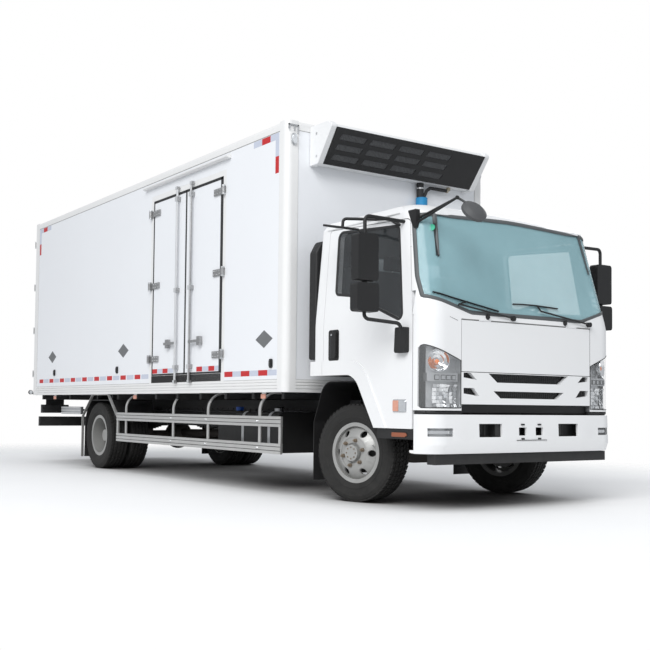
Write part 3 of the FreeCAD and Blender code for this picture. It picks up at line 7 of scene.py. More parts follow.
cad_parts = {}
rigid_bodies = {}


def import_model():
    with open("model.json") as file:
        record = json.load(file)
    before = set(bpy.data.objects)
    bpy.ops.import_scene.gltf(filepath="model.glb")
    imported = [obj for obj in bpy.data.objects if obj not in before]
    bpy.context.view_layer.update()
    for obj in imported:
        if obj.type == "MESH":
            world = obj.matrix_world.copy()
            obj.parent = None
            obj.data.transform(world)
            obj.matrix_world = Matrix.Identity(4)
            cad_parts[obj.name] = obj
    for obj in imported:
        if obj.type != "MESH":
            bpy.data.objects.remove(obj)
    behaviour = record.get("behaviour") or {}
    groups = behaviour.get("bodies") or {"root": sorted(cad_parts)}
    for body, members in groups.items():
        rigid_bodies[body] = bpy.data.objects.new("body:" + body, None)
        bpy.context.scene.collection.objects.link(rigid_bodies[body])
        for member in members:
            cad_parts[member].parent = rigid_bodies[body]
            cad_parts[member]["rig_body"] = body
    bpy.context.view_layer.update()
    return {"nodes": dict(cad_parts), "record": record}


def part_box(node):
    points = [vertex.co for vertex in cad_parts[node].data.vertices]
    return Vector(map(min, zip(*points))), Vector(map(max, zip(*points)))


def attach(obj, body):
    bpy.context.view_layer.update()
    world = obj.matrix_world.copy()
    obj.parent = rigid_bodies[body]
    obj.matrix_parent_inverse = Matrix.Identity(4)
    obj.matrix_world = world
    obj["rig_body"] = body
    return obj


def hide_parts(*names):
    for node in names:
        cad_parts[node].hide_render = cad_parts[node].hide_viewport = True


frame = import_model()

# ------------------------------------------------------------------ frame, springs and axles
# Pressed and welded steel ladder frame, sprayed black and dusty from the road, with its leaf springs and
# the box's cross bearers. The axles and knuckles are iron castings. Rolled edges catch a thin line of light.
DUST = (0.17, 0.16, 0.145, 1.0)


def feed(tree, entry, value):
    """Links another node's output to an input, or sets a plain value there."""
    if isinstance(value, bpy.types.NodeSocket):
        tree.links.new(value, entry)
    else:
        entry.default_value = value


def node(tree, kind, **values):
    """A node with its settings made (names in small letters) and its inputs fed (names with a capital)."""
    made = tree.nodes.new(kind)
    for key, value in values.items():
        if key[0].isupper():
            feed(tree, made.inputs[key.replace("_", " ")], value)
        else:
            setattr(made, key, value)
    return made


def blended(tree, share, low, high):
    """The output of a node that mixes two colours, each a plain colour or another node's output."""
    made = node(tree, "ShaderNodeMix", data_type="RGBA", Factor=share)
    feed(tree, made.inputs[6], low)
    feed(tree, made.inputs[7], high)
    return made.outputs[2]


def finish(name, colour, rough=0.5, metal=0.0, vary=0.04, size=2.5, grain=0.0, grain_size=300.0, coat=0.0,
           stretch=(1.0, 1.0, 1.0), dust=0.0, dust_top=1.0, alpha=1.0, second=None):
    """A finish with a slow cloud in its colour and roughness, a fine grain as bump, and road dust that
    thickens from dust_top (metres) down to the ground; second is a colour that the cloud mixes in."""
    material = bpy.data.materials.new("fin_" + name)
    material.use_nodes = True
    tree = material.node_tree
    place = node(tree, "ShaderNodeTexCoord").outputs["Object"]
    scaled = node(tree, "ShaderNodeMapping", Scale=stretch, Vector=place).outputs["Vector"]
    cloud = node(tree, "ShaderNodeTexNoise", Scale=size, Detail=5.0, Roughness=0.6, Vector=scaled)
    cloud = cloud.outputs["Fac"]
    low = second or tuple(c * (1 - vary) for c in colour)
    high = tuple(min(1.0, c * (1 + vary)) for c in colour)
    tint = blended(tree, cloud, (*low, 1.0), (*high, 1.0))
    if dust:
        height = node(tree, "ShaderNodeSeparateXYZ", Vector=place).outputs["Z"]
        depth = node(tree, "ShaderNodeMapRange", From_Min=dust_top, From_Max=0.0, To_Max=dust, Value=height)
        patch = node(tree, "ShaderNodeTexNoise", Scale=9.0, Detail=8.0, Roughness=0.7, Vector=place)
        patchy = node(tree, "ShaderNodeMapRange", From_Min=0.35, From_Max=0.75, Value=patch.outputs["Fac"])
        share = node(tree, "ShaderNodeMath", operation="MULTIPLY")
        feed(tree, share.inputs[0], depth.outputs["Result"])
        feed(tree, share.inputs[1], patchy.outputs["Result"])
        tint = blended(tree, share.outputs["Value"], tint, DUST)
    wear = node(tree, "ShaderNodeMapRange", To_Min=max(0.02, rough - 0.04), To_Max=min(1.0, rough + 0.04),
                Value=cloud)
    values = {"Base Color": tint, "Roughness": wear.outputs["Result"], "Metallic": metal, "Coat Weight": coat,
              "Alpha": alpha}
    if grain:
        fine = node(tree, "ShaderNodeTexNoise", Scale=grain_size, Detail=2.0, Vector=scaled)
        bump = node(tree, "ShaderNodeBump", Strength=grain, Distance=0.001, Height=fine.outputs["Fac"])
        values["Normal"] = bump.outputs["Normal"]
    for key, value in values.items():
        feed(tree, tree.nodes["Principled BSDF"].inputs[key], value)
    return material


CHASSIS = finish("frame_paint", (0.010, 0.010, 0.0105), 0.55, vary=0.25, dust=0.12, grain=0.2, grain_size=90)
IRON = finish("iron", (0.045, 0.043, 0.042), 0.62, metal=0.4, vary=0.3, second=(0.065, 0.052, 0.044), size=6,
              grain=0.4, grain_size=110, dust=0.15)
SLOTS = {m["slot"] for m in frame["record"]["materials"]}


def enter(mesh, name, body, slot, bevel=0.0, angle=32.0):
    """A mesh as a piece that moves with a body, its edges broken by a small bevel if one is given."""
    thing = bpy.data.objects.new(name, mesh)
    bpy.context.scene.collection.objects.link(thing)
    mesh.shade_smooth()
    if bevel:
        edge = thing.modifiers.new("Edge", "BEVEL")
        edge.width, edge.segments, edge.limit_method = bevel, 2, "ANGLE"
        edge.angle_limit, edge.harden_normals, edge.use_clamp_overlap = math.radians(angle), True, True
    else:
        mesh.set_sharp_from_angle(angle=math.radians(angle))
    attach(thing, body)
    assert slot in SLOTS, slot
    return thing


AXLE = 2.9075           # metres from the frame's origin, at the middle of the truck, to the front axle


def surface(name, finishes, bevel=0.0, angle=32.0, choose=None, slot=None):
    """A CAD node's own surface, welded, as a piece; choose(centre, normal) gives a face's finish number."""
    source = frame["nodes"][name]
    bm = bmesh.new()
    bm.from_mesh(source.data)
    bmesh.ops.remove_doubles(bm, verts=bm.verts, dist=2e-5)
    bmesh.ops.dissolve_degenerate(bm, edges=bm.edges, dist=1e-5)
    bmesh.ops.recalc_face_normals(bm, faces=bm.faces)
    if bevel:
        bmesh.ops.dissolve_limit(bm, angle_limit=math.radians(0.4), verts=bm.verts, edges=bm.edges)
    for face in bm.faces:
        centre = face.calc_center_median()
        spot = Vector(((centre.x - AXLE) * 1000, centre.y * 1000, centre.z * 1000))
        face.material_index = choose(spot, face.normal) if choose else 0
    points = [v.co.copy() for v in bm.verts]
    bm.verts.index_update()
    mesh = bpy.data.meshes.new(name + "_surface")
    mesh.from_pydata(points, [], [[v.index for v in f.verts] for f in bm.faces])
    mesh.polygons.foreach_set("material_index", [f.material_index for f in bm.faces])
    bm.free()
    finishes = finishes if isinstance(finishes, list) else [finishes]
    for material in finishes:
        mesh.materials.append(material)
    copy = enter(mesh, name + "_finished", source["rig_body"], slot or finishes[0].name[4:], bevel, angle)
    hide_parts(name)


for name in ("chassis_frame", "body_subframe", "underrun_bars"):
    surface(name, CHASSIS, bevel=0.002)
surface("leaf_springs", CHASSIS, bevel=0.0015)
for name in ("front_axle_beam", "rear_axle", "knuckle_left", "knuckle_right"):
    surface(name, IRON, bevel=0.0015)
surface("engine_block", IRON, bevel=0.006)

# ------------------------------------------------------------------ frame rivets
# Cold-set steel rivets along both flanges of the rails, and six bolts at each side of every crossmember.
# They are painted with the frame.
RAIL_FACE = 375         # the rails' outer faces; these places are in millimetres from the front axle
OUT = {1: (0, 1, 0), -1: (0, -1, 0)}


def at(x, y, z):
    """A place in the frame, in metres, from millimetres counted from the front axle."""
    return Vector((x / 1000 + AXLE, y / 1000, z / 1000))


def layout_tree():
    """Geometry nodes that set one form on every point, turned and sized by the point's own values."""
    tree = bpy.data.node_groups.new("Layout", "GeometryNodeTree")
    for label, kind in (("Points", "Geometry"), ("Form", "Object"), ("Finish", "Material")):
        tree.interface.new_socket(label, in_out="INPUT", socket_type="NodeSocket" + kind)
    tree.interface.new_socket("Copies", in_out="OUTPUT", socket_type="NodeSocketGeometry")
    given = tree.nodes.new("NodeGroupInput").outputs
    form = node(tree, "GeometryNodeObjectInfo", As_Instance=True, Object=given["Form"])
    turn = node(tree, "GeometryNodeInputNamedAttribute", data_type="FLOAT_VECTOR", Name="turn")
    size = node(tree, "GeometryNodeInputNamedAttribute", data_type="FLOAT_VECTOR", Name="size")
    spin = node(tree, "FunctionNodeEulerToRotation", Euler=turn.outputs["Attribute"])
    placed = node(tree, "GeometryNodeInstanceOnPoints", Points=given["Points"],
                  Instance=form.outputs["Geometry"], Rotation=spin.outputs["Rotation"],
                  Scale=size.outputs["Attribute"])
    real = node(tree, "GeometryNodeRealizeInstances", Geometry=placed.outputs["Instances"])
    coat = node(tree, "GeometryNodeSetMaterial", Geometry=real.outputs["Geometry"], Material=given["Finish"])
    node(tree, "NodeGroupOutput", Copies=coat.outputs["Geometry"])
    return tree


LAYOUT = layout_tree()
FORMS = {}


def unit_form(kind):
    """The small forms that repeat, each one metre across and facing +Z."""
    if kind in FORMS:
        return FORMS[kind]
    bm = bmesh.new()
    if kind == "block":
        bmesh.ops.create_cube(bm, size=1.0)
    elif kind == "lozenge":
        bmesh.ops.create_cube(bm, size=1.0)
        for v in bm.verts:
            v.co.x += 0.28 * v.co.y
            if v.co.z > 0:
                v.co.x, v.co.y = v.co.x * 0.93, v.co.y * 0.9
    else:
        sides, crown = {"bolt": (6, 0.8), "rivet": (8, 0.45)}[kind]
        rings = [(0.5, 0.0), (0.5, 0.3), (0.5 * crown, 0.45)]
        turns = [2 * math.pi * k / sides for k in range(sides)]
        verts = [[bm.verts.new((r * math.cos(t), r * math.sin(t), z)) for t in turns] for r, z in rings]
        for a, b in zip(verts, verts[1:]):
            for k in range(sides):
                bm.faces.new((a[k], a[(k + 1) % sides], b[(k + 1) % sides], b[k]))
        bm.faces.new(verts[-1])
        bm.faces.new(list(reversed(verts[0])))
    mesh = bpy.data.meshes.new("form_" + kind)
    bm.to_mesh(mesh)
    bm.free()
    FORMS[kind] = bpy.data.objects.new("form_" + kind, mesh)
    return FORMS[kind]


def repeated(name, body, slot, kind, places, material):
    """One small form at many places (position, direction it faces, size in x, y, z, roll), as one piece."""
    points = bpy.data.meshes.new(name + "_points")
    points.from_pydata([at(*p[0]) for p in places], [], [])
    turn = points.attributes.new("turn", "FLOAT_VECTOR", "POINT")
    size = points.attributes.new("size", "FLOAT_VECTOR", "POINT")
    turns, sizes = [], []
    for place in places:
        way = Vector(place[1]).to_track_quat("Z", "Y").to_matrix()
        roll = place[3] if len(place) > 3 else 0.0
        turns += list((way @ Matrix.Rotation(roll, 3, "Z")).to_euler())
        sizes += [s / 1000 for s in place[2]]
    turn.data.foreach_set("vector", turns)
    size.data.foreach_set("vector", sizes)
    holder = bpy.data.objects.new(name + "_layout", points)
    bpy.context.scene.collection.objects.link(holder)
    spread = holder.modifiers.new("Layout", "NODES")
    spread.node_group = LAYOUT
    keys = {i.name: i.identifier for i in LAYOUT.interface.items_tree if i.in_out == "INPUT"}
    spread[keys["Form"]] = unit_form(kind)
    spread[keys["Finish"]] = material
    done = holder.evaluated_get(bpy.context.evaluated_depsgraph_get())
    mesh = bpy.data.meshes.new_from_object(done)
    bpy.data.objects.remove(holder)
    mesh.name = name
    return enter(mesh, name, body, slot, angle=30.0)


rivets = []
for x in range(-7000, 900, 120):
    for side in (-1, 1):
        rivets += [((x, side * RAIL_FACE, z), OUT[side], (22, 22, 14)) for z in (735, 565)]
for x in (760, -1250, -2450, -3650, -4400, -5570, -6400, -7000):
    for side in (-1, 1):
        rivets += [((x + dx, side * RAIL_FACE, z), OUT[side], (30, 30, 22))
                   for dx in (-28, 28) for z in (610, 650, 690)]
repeated("frame_rivets", "chassis", "frame_paint", "bolt", rivets, CHASSIS)

# ------------------------------------------------------------------ engine dressing
# Ribbed head and sump on the cast engine block, a plastic fan in its ring with a finned radiator in front,
# a rubber air pipe, and the exhaust with its plated silencer along the left rail.
ZINC = finish("galvanised", (0.58, 0.59, 0.60), 0.36, metal=0.9, vary=0.14, size=14, grain=0.15,
              grain_size=120)
BLACK = finish("black_plastic", (0.008, 0.008, 0.0085), 0.55, vary=0.2, grain=0.35, grain_size=700, dust=0.06)
RUBBER = finish("rubber", (0.020, 0.020, 0.021), 0.65, vary=0.2, grain=0.2, grain_size=300)
COIL = finish("coil_grey", (0.085, 0.087, 0.090), 0.65, vary=0.4, size=60, stretch=(1, 5, 1), grain=0.5,
              grain_size=200)
FAN_HEIGHT, FAN_BLADES = 700, 9
CUBE = [(0, 1, 3, 2), (4, 6, 7, 5), (0, 4, 5, 1), (2, 3, 7, 6), (0, 2, 6, 4), (1, 5, 7, 3)]


def rounded(corners, steps=5):
    """Corner points (a, b, radius) as a closed outline with its corners rounded."""
    outline = []
    count = len(corners)
    for i, corner in enumerate(corners):
        a = Vector(corner[:2])
        radius = corner[2] if len(corner) > 2 else 0
        if not radius:
            outline.append(a)
            continue
        back = (Vector(corners[i - 1][:2]) - a).normalized()
        ahead = (Vector(corners[(i + 1) % count][:2]) - a).normalized()
        half = back.angle(ahead) / 2
        centre = a + (back + ahead).normalized() * (radius / math.sin(half))
        start = a + back * (radius / math.tan(half)) - centre
        stop = a + ahead * (radius / math.tan(half)) - centre
        sweep = start.angle_signed(stop)
        for k in range(steps + 1):
            turn = -sweep * k / steps
            outline.append(centre + Matrix.Rotation(turn, 2) @ start)
    return outline


def rectangle(a, b, radius=0):
    """Corner points of a rectangle from its limits in both directions."""
    return [(a[0], b[0], radius), (a[1], b[0], radius), (a[1], b[1], radius), (a[0], b[1], radius)]


class Form:
    """Simple solids in millimetres from the front axle, each with its finish, gathered into one mesh."""

    def __init__(self):
        self.bm = bmesh.new()
        self.finishes = []

    def skin(self, points, loops, material):
        """Adds points and the faces that run round them, with normals turned outwards."""
        if material not in self.finishes:
            self.finishes.append(material)
        verts = [self.bm.verts.new(at(*p)) for p in points]
        made = []
        for loop in loops:
            face = self.bm.faces.new([verts[i] for i in loop])
            face.material_index = self.finishes.index(material)
            made.append(face)
        bmesh.ops.recalc_face_normals(self.bm, faces=made)

    def block(self, x, y, z, material, turn=None):
        """A cuboid between three pairs of limits, turned about its middle."""
        points = [Vector((a, b, c)) for a in sorted(x) for b in sorted(y) for c in sorted(z)]
        if turn:
            middle = sum(points, Vector()) / 8
            points = [middle + turn @ (p - middle) for p in points]
        self.skin(points, CUBE, material)

    def prism(self, plane, corners, start, end, material):
        """An outline (a, b, radius) in the xy, xz or yz plane, drawn out from start to end."""
        order = {"xy": (0, 1, 2), "xz": (0, 2, 1), "yz": (2, 0, 1)}[plane]
        outline = rounded(corners)
        count = len(outline)
        points = [[(p.x, p.y, depth)[i] for i in order] for depth in sorted((start, end)) for p in outline]
        loops = [tuple(range(count)), tuple(reversed(range(count, 2 * count)))]
        loops += [(i, (i + 1) % count, (i + 1) % count + count, i + count) for i in range(count)]
        self.skin(points, loops, material)

    def lathe(self, profile, centre, axis, material, steps=40, closed=False):
        """A profile (radius, along) turned about an axis through centre."""
        axis = Vector(axis).normalized()
        side = axis.orthogonal().normalized()
        up = axis.cross(side)
        centre = Vector(centre)
        points, rings = [], []
        for radius, along in profile:
            if radius < 1e-6:
                rings.append([len(points)])
                points.append(centre + axis * along)
                continue
            rings.append(list(range(len(points), len(points) + steps)))
            for k in range(steps):
                t = 2 * math.pi * k / steps
                points.append(centre + axis * along + (side * math.cos(t) + up * math.sin(t)) * radius)
        loops = []
        pairs = list(zip(rings, rings[1:])) + ([(rings[-1], rings[0])] if closed else [])
        for a, b in pairs:
            for k in range(steps):
                n = (k + 1) % steps
                if len(a) == 1 and len(b) > 1:
                    loops.append((a[0], b[k], b[n]))
                elif len(b) == 1 and len(a) > 1:
                    loops.append((a[k], b[0], a[n]))
                elif len(a) > 1:
                    loops.append((a[k], b[k], b[n], a[n]))
        self.skin(points, loops, material)

    def rod(self, start, end, radius, material, steps=16, tip=None):
        """A round bar from start to end, tapering to the tip radius."""
        way = Vector(end) - Vector(start)
        tip = radius if tip is None else tip
        self.lathe([(0, 0), (radius, 0), (tip, way.length), (0, way.length)], start, way, material, steps)

    def tube(self, points, radius, material, steps=10, closed=False, flat=1.0, out=None):
        """A bar swept along points; flat squashes its section along the out direction."""
        path = [Vector(p) for p in points]
        count = len(path)
        made, section = [], None
        for i, p in enumerate(path):
            before = path[i - 1] if i or closed else p
            after = path[(i + 1) % count] if i < count - 1 or closed else p
            along = (after - before).normalized()
            if out is not None:
                side = (out(p) - along * along.dot(out(p))).normalized()
            elif section is None:
                side = along.orthogonal().normalized()
            else:
                side = (section - along * along.dot(section)).normalized()
            section = side
            up = along.cross(side)
            made += [p + side * math.cos(t) * radius * flat + up * math.sin(t) * radius
                     for t in (2 * math.pi * k / steps for k in range(steps))]
        loops = []
        for i in range(count if closed else count - 1):
            a, b = i * steps, (i + 1) % count * steps
            loops += [(a + k, a + (k + 1) % steps, b + (k + 1) % steps, b + k) for k in range(steps)]
        if not closed:
            loops += [tuple(range(steps)), tuple(range((count - 1) * steps, count * steps))]
        self.skin(made, loops, material)

    def mirror(self):
        """Adds the same again on the other side of the truck."""
        everything = self.bm.verts[:] + self.bm.edges[:] + self.bm.faces[:]
        twin = bmesh.ops.duplicate(self.bm, geom=everything)["geom"]
        for v in [g for g in twin if isinstance(g, bmesh.types.BMVert)]:
            v.co.y = -v.co.y
        bmesh.ops.reverse_faces(self.bm, faces=[g for g in twin if isinstance(g, bmesh.types.BMFace)])

    def piece(self, name, body, slot, bevel=0.0, angle=35.0, turned=None):
        """Closes the form as one named piece; turned is a matrix that moves the whole of it."""
        mesh = bpy.data.meshes.new(name)
        self.bm.to_mesh(mesh)
        self.bm.free()
        if turned:
            mesh.transform(turned)
        for material in self.finishes:
            mesh.materials.append(material)
        return enter(mesh, name, body, slot, bevel, angle)


def smooth_path(points, steps=6):
    """Points on a rounded curve through the given ones."""
    path = [Vector(p) for p in points]
    path = [path[0]] + path + [path[-1]]
    made = []
    for a, b, c, d in zip(path, path[1:], path[2:], path[3:]):
        for k in range(steps):
            t = k / steps
            made.append(0.5 * (2 * b + (c - a) * t + (2 * a - 5 * b + 4 * c - d) * t * t
                               + (3 * b - a - 3 * c + d) * t ** 3))
    return made + [path[-1]]


dress = Form()
dress.block((-300, 260), (-150, 150), (1000, 1052), IRON)
for x in range(-270, 250, 60):
    dress.block((x, x + 16), (-165, 165), (1000, 1066), IRON)
dress.prism("xz", [(-230, 452, 0), (230, 452, 0), (190, 372, 30), (-120, 372, 30)], -140, 140, IRON)
dress.lathe([(262, 0), (262, 60), (246, 60), (246, 0)], (560, 0, FAN_HEIGHT), (1, 0, 0), BLACK, 40,
            closed=True)
dress.lathe([(0, 0), (60, 0), (60, 50), (0, 60)], (530, 0, FAN_HEIGHT), (1, 0, 0), BLACK, 24)
for k in range(FAN_BLADES):
    turn = Matrix.Rotation(2 * math.pi * k / FAN_BLADES, 3, "X")
    middle = turn @ Vector((0, 0, 145)) + Vector((0, 0, FAN_HEIGHT))
    dress.block((535, 575), (middle.y - 40, middle.y + 40), (middle.z - 92, middle.z + 92), BLACK, turn)
dress.block((640, 700), (-300, 300), (560, 790), COIL)
dress.tube(smooth_path([(-200, -180, 1010), (0, -330, 1010), (250, -330, 960), (600, -260, 800)]), 38, RUBBER)
dress.tube(smooth_path([(-230, 200, 620), (-420, 255, 470), (-900, 270, 430), (-1500, 270, 420)]), 34, IRON)
dress.rod((-1500, 270, 430), (-2300, 270, 430), 100, ZINC, 28)
dress.tube(smooth_path([(-2300, 270, 430), (-2700, 270, 430), (-2850, 300, 400), (-2900, 330, 380)]), 32,
           IRON)
dress.piece("engine_dressing", "chassis", "iron", bevel=0.003)
fins = [((706, y, 675), (1, 0, 0), (4, 228, 10)) for y in range(-290, 295, 14)]
repeated("radiator_fins", "chassis", "iron", "block", fins, COIL)

# ------------------------------------------------------------------ pipes and hoses
# Air pipes and wiring in rubber sleeves, clipped along the rails, and the rubber brake hoses that reach
# down to both axles.
REAR_AXLE = -4985
lines = Form()
for side, z, radius in ((1, 712, 9), (1, 690, 6), (-1, 712, 11), (-1, 688, 5)):
    route = [(x, side * (388 + 3 * (k % 2)), z - 4 * (k % 2)) for k, x in enumerate(range(-6900, 700, 380))]
    lines.tube(smooth_path(route, 3), radius, RUBBER, 8)
for side in (-1, 1):
    front = [(60, side * 388, 640), (90, side * 470, 560), (70, side * 560, 480), (30, side * 640, 470)]
    rear = [(REAR_AXLE, side * 240, 560), (REAR_AXLE + 25, side * 300, 620),
            (REAR_AXLE + 85, side * 360, 600)]
    for route in (front, rear):
        lines.tube(smooth_path(route), 7, RUBBER, 8)
lines.piece("frame_lines", "chassis", "frame_paint")

# ------------------------------------------------------------------ spring ties
# Forged U-bolts that hold each leaf pack to its axle between two plates, rebound clips bent round the
# leaf ends, and rubber bump stops.
ties = Form()
for x, z, plate in ((0, 494, 440), (REAR_AXLE, 558, 470)):
    for dx in (-62, 62):
        ties.tube([(x + dx, 388, plate - 60), (x + dx, 388, z + 8), (x + dx, 430, z + 14),
                   (x + dx, 472, z + 8), (x + dx, 472, plate - 60)], 8, IRON, 8)
    ties.block((x - 80, x + 80), (384, 476), (plate - 52, plate - 40), IRON)
    ties.block((x - 45, x + 45), (392, 468), (z + 12, z + 22), IRON)
    ties.rod((x, 430, z + 22), (x, 430, z + 62), 34, RUBBER, 20, tip=22)
    for dx in (-330, 330):
        ties.block((x + dx - 16, x + dx + 16), (392, 468), (z - 32, z + 22), CHASSIS)
ties.mirror()
ties.piece("spring_ties", "chassis", "iron", bevel=0.002)

# ------------------------------------------------------------------ wheels
# Steel disc wheels, sprayed silver grey, on road tyres with a ribbed tread: four grooves round the tyre
# and rows of skewed blocks between them. The sidewalls carry moulded rings only.
# A dark copy of the rim's grey, used as painted shade on the rims' dishes and inner sides.
RIM_PAINTED_SHADE = finish("rim_shade", (0.10, 0.10, 0.097), 0.5, metal=0.3, vary=0.2, size=7, dust=0.2, dust_top=0.9)
RIM = finish("rim_paint", (0.37, 0.37, 0.36), 0.40, metal=0.4, vary=0.12, size=7, dust=0.18, dust_top=0.9,
             grain=0.1)
TYRE = finish("tyre", (0.011, 0.0107, 0.0103), 0.85, vary=0.3, size=5, grain=0.35, grain_size=240, dust=0.10)
NUT = finish("wheel_nut", (0.26, 0.21, 0.16), 0.5, metal=0.6, vary=0.3, size=40, grain=0.3)
STEER = math.radians(14.0)
HUB_HEIGHT = 400
FRONT_TRACK, REAR_TRACK, KINGPIN = 845, 968, 715     # to the middle of each outer tyre, and to the kingpins
TWIN = 270                                           # between the middles of twin tyres
TREAD_RADIUS, TREAD_GIRTH, TREAD_DEPTH = 393.5, 2430, 12.5    # of the blocks' middles, round them, and deep
TREAD_ROWS = ((0, 34, 62), (43, 28, 62), (-43, 28, 62), (87, 32, 54), (-87, 32, 54))  # offset, width, blocks


def tyre_profile():
    """A tyre's section as (radius, axial): sidewall, grooved tread and the other sidewall."""
    side = [(223, 84), (243, 92), (247, 99), (262, 108), (284, 113.5), (290, 116.5), (296, 114), (318, 116.5),
            (330, 117.3), (346, 116), (352, 117.2), (356, 115), (372, 112), (384, 104), (389, 96)]
    grooves = []
    for edge in (64, 22, -22, -64):
        grooves += [(391, edge + 6), (381, edge + 4), (381, edge - 4), (391, edge - 6)]
    return side + grooves + [(r, -a) for r, a in reversed(side)]


def wheel(end, corner, side):
    """One front wheel, or a pair of twin rear wheels, with its tyres, rims, nuts and hub."""
    front = end == "front"
    x, middle = (0, side * FRONT_TRACK) if front else (REAR_AXLE, side * REAR_TRACK)
    centres = [middle] if front else [middle, middle - side * TWIN]
    body = ("front_wheel_" if front else "rear_wheels_") + corner
    place = end + "_" + corner
    pin = at(0, side * KINGPIN, 0)
    steered = Matrix.Translation(pin) @ Matrix.Rotation(STEER, 4, "Z") @ Matrix.Translation(-pin)
    turned = steered if front else None

    def round_hub(radius, angle, y):
        return Vector((x + radius * math.cos(angle), y, HUB_HEIGHT + radius * math.sin(angle)))

    rubber = Form()
    blocks = []
    for y in centres:
        rubber.lathe(tyre_profile(), (x, y, HUB_HEIGHT), (0, 1, 0), TYRE, 96, closed=True)
        for row, (offset, width, count) in enumerate(TREAD_ROWS):
            drop = 5 if abs(offset) > 80 else 0
            for k in range(count):
                angle = 2 * math.pi * (k + 0.5 * (row % 2)) / count
                spot = round_hub(TREAD_RADIUS - drop * 0.6, angle, y + offset)
                blocks.append((spot, (math.cos(angle), 0, math.sin(angle)),
                               (width, 0.86 * TREAD_GIRTH / count, TREAD_DEPTH - drop * 0.3), 0.0))
    tyre = rubber.piece("tyre_" + place, body, "tyre", angle=28, turned=turned)
    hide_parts(("front_tyre_" if front else "rear_tyres_") + corner)
    tread = repeated("tread_" + place, body, "tyre", "lozenge", blocks, TYRE)
    if turned:
        tread.data.transform(turned)

    # The rim's dish and all that lies further in, behind the disc, take a dark copy of the rim's grey:
    # painted shade.
    dish = FRONT_TRACK + 40 if front else REAR_TRACK - 18
    straight = (turned or Matrix()).inverted()
    surface(("front_rim_" if front else "rear_rims_") + corner, [RIM, RIM_PAINTED_SHADE], bevel=0.0012, angle=38,
            slot="rim_paint", choose=lambda p, n: 1 if abs((straight @ at(*p)).y) * 1000 < dish else 0)

    # Rolled rim edges, the hub with its cap, the valve, nuts on their studs and the hub's ring of bolts.
    face = middle + side * (124 if front else -110)
    cap = 30 if front else 6
    dress = Form()
    for y in centres:
        for edge, offset in ((-1, -97), (1, 89)):
            dress.lathe([(246, 0), (250, 3), (250, 7), (246, 10), (240, 8), (240, 2)],
                        (x, y + offset, HUB_HEIGHT), (0, 1, 0), RIM, 64, closed=True)
    hub = (x, face, HUB_HEIGHT)
    dress.lathe([(60, -4), (60, cap - 8), (52, cap), (0, cap + 3)], hub, (0, side, 0), RIM, 40)
    dress.lathe([(134, -3), (134, 2), (126, 3), (126, -3)], hub, (0, side, 0), RIM, 56, closed=True)
    valve = Vector((x + 190, face - side * 30, HUB_HEIGHT + 60))
    dress.rod(valve, valve + Vector((8, side * 36, 3)), 4, ZINC, 8)
    dress.piece("rim_dressing_" + place, body, "rim_paint", angle=30, turned=turned)
    steel = []
    for k in range(6):
        angle = 2 * math.pi * (k + 0.25) / 6
        steel.append((round_hub(104, angle, face), OUT[side], (34, 34, 46)))
        steel.append((round_hub(104, angle, face + side * 18), OUT[side], (18, 18, 40)))
    for k in range(8):
        steel.append((round_hub(46, 2 * math.pi * k / 8, face + side * cap), OUT[side], (12, 12, 16)))
    nuts = repeated("wheel_nuts_" + place, body, "rim_paint", "bolt", steel, NUT)
    if turned:
        nuts.data.transform(turned)


for end in ("front", "rear"):
    for corner, side in (("left", 1), ("right", -1)):
        wheel(end, corner, side)

# ------------------------------------------------------------------ box body
# Insulated panels with smooth white GRP skins, set between painted aluminium edge profiles. Bead lines of
# sealant run where a skin meets its profile.
PANEL = finish("panel_white", (0.80, 0.815, 0.84), 0.34, coat=0.25, vary=0.02, size=0.8, grain=0.05,
               grain_size=120, dust=0.06, dust_top=1.5)
EDGE = finish("edge_white", (0.76, 0.76, 0.755), 0.36, vary=0.03, dust=0.10, dust_top=1.4)
ALU = finish("aluminium", (0.64, 0.635, 0.62), 0.38, metal=0.85, vary=0.10, stretch=(1, 14, 14), size=6,
             dust=0.25, grain=0.12, grain_size=200)
SEAL_LINE = finish("sealant", (0.40, 0.40, 0.39), 0.6, vary=0.1)
REAR_END, FRONT_END = -7000, -784        # the side skins' ends
DOORWAY = (-3385, -1735)                 # the side door's frame, in the right-hand wall
REAR_FRAME = -7119                       # the rear frame's face
SILL_FACE, SILL_TOP = -1166.5, 1080      # the side door's sill: its outer face and its top
SKIN_BOTTOM, SKIN_TOP = 1003, 3192.5     # the heights between which the skins lie
for name in ("box_walls", "box_roof"):
    surface(name, PANEL)
surface("box_floor", [PANEL, ALU], choose=lambda p, n: 1 if n.z > 0.9 else 0)
surface("box_edge_profiles", EDGE, bevel=0.0012, slot="aluminium")
surface("box_rear_frame", [ZINC, EDGE], bevel=0.0015, slot="galvanised",
        choose=lambda p, n: 0 if p.x < REAR_FRAME else 1)
surface("side_door_frame", [ZINC, EDGE, RUBBER], bevel=0.0012, slot="galvanised",
        choose=lambda p, n: 0 if p.y < SILL_FACE else 2 if n.y < -0.9 and p.z < SILL_TOP else 1)

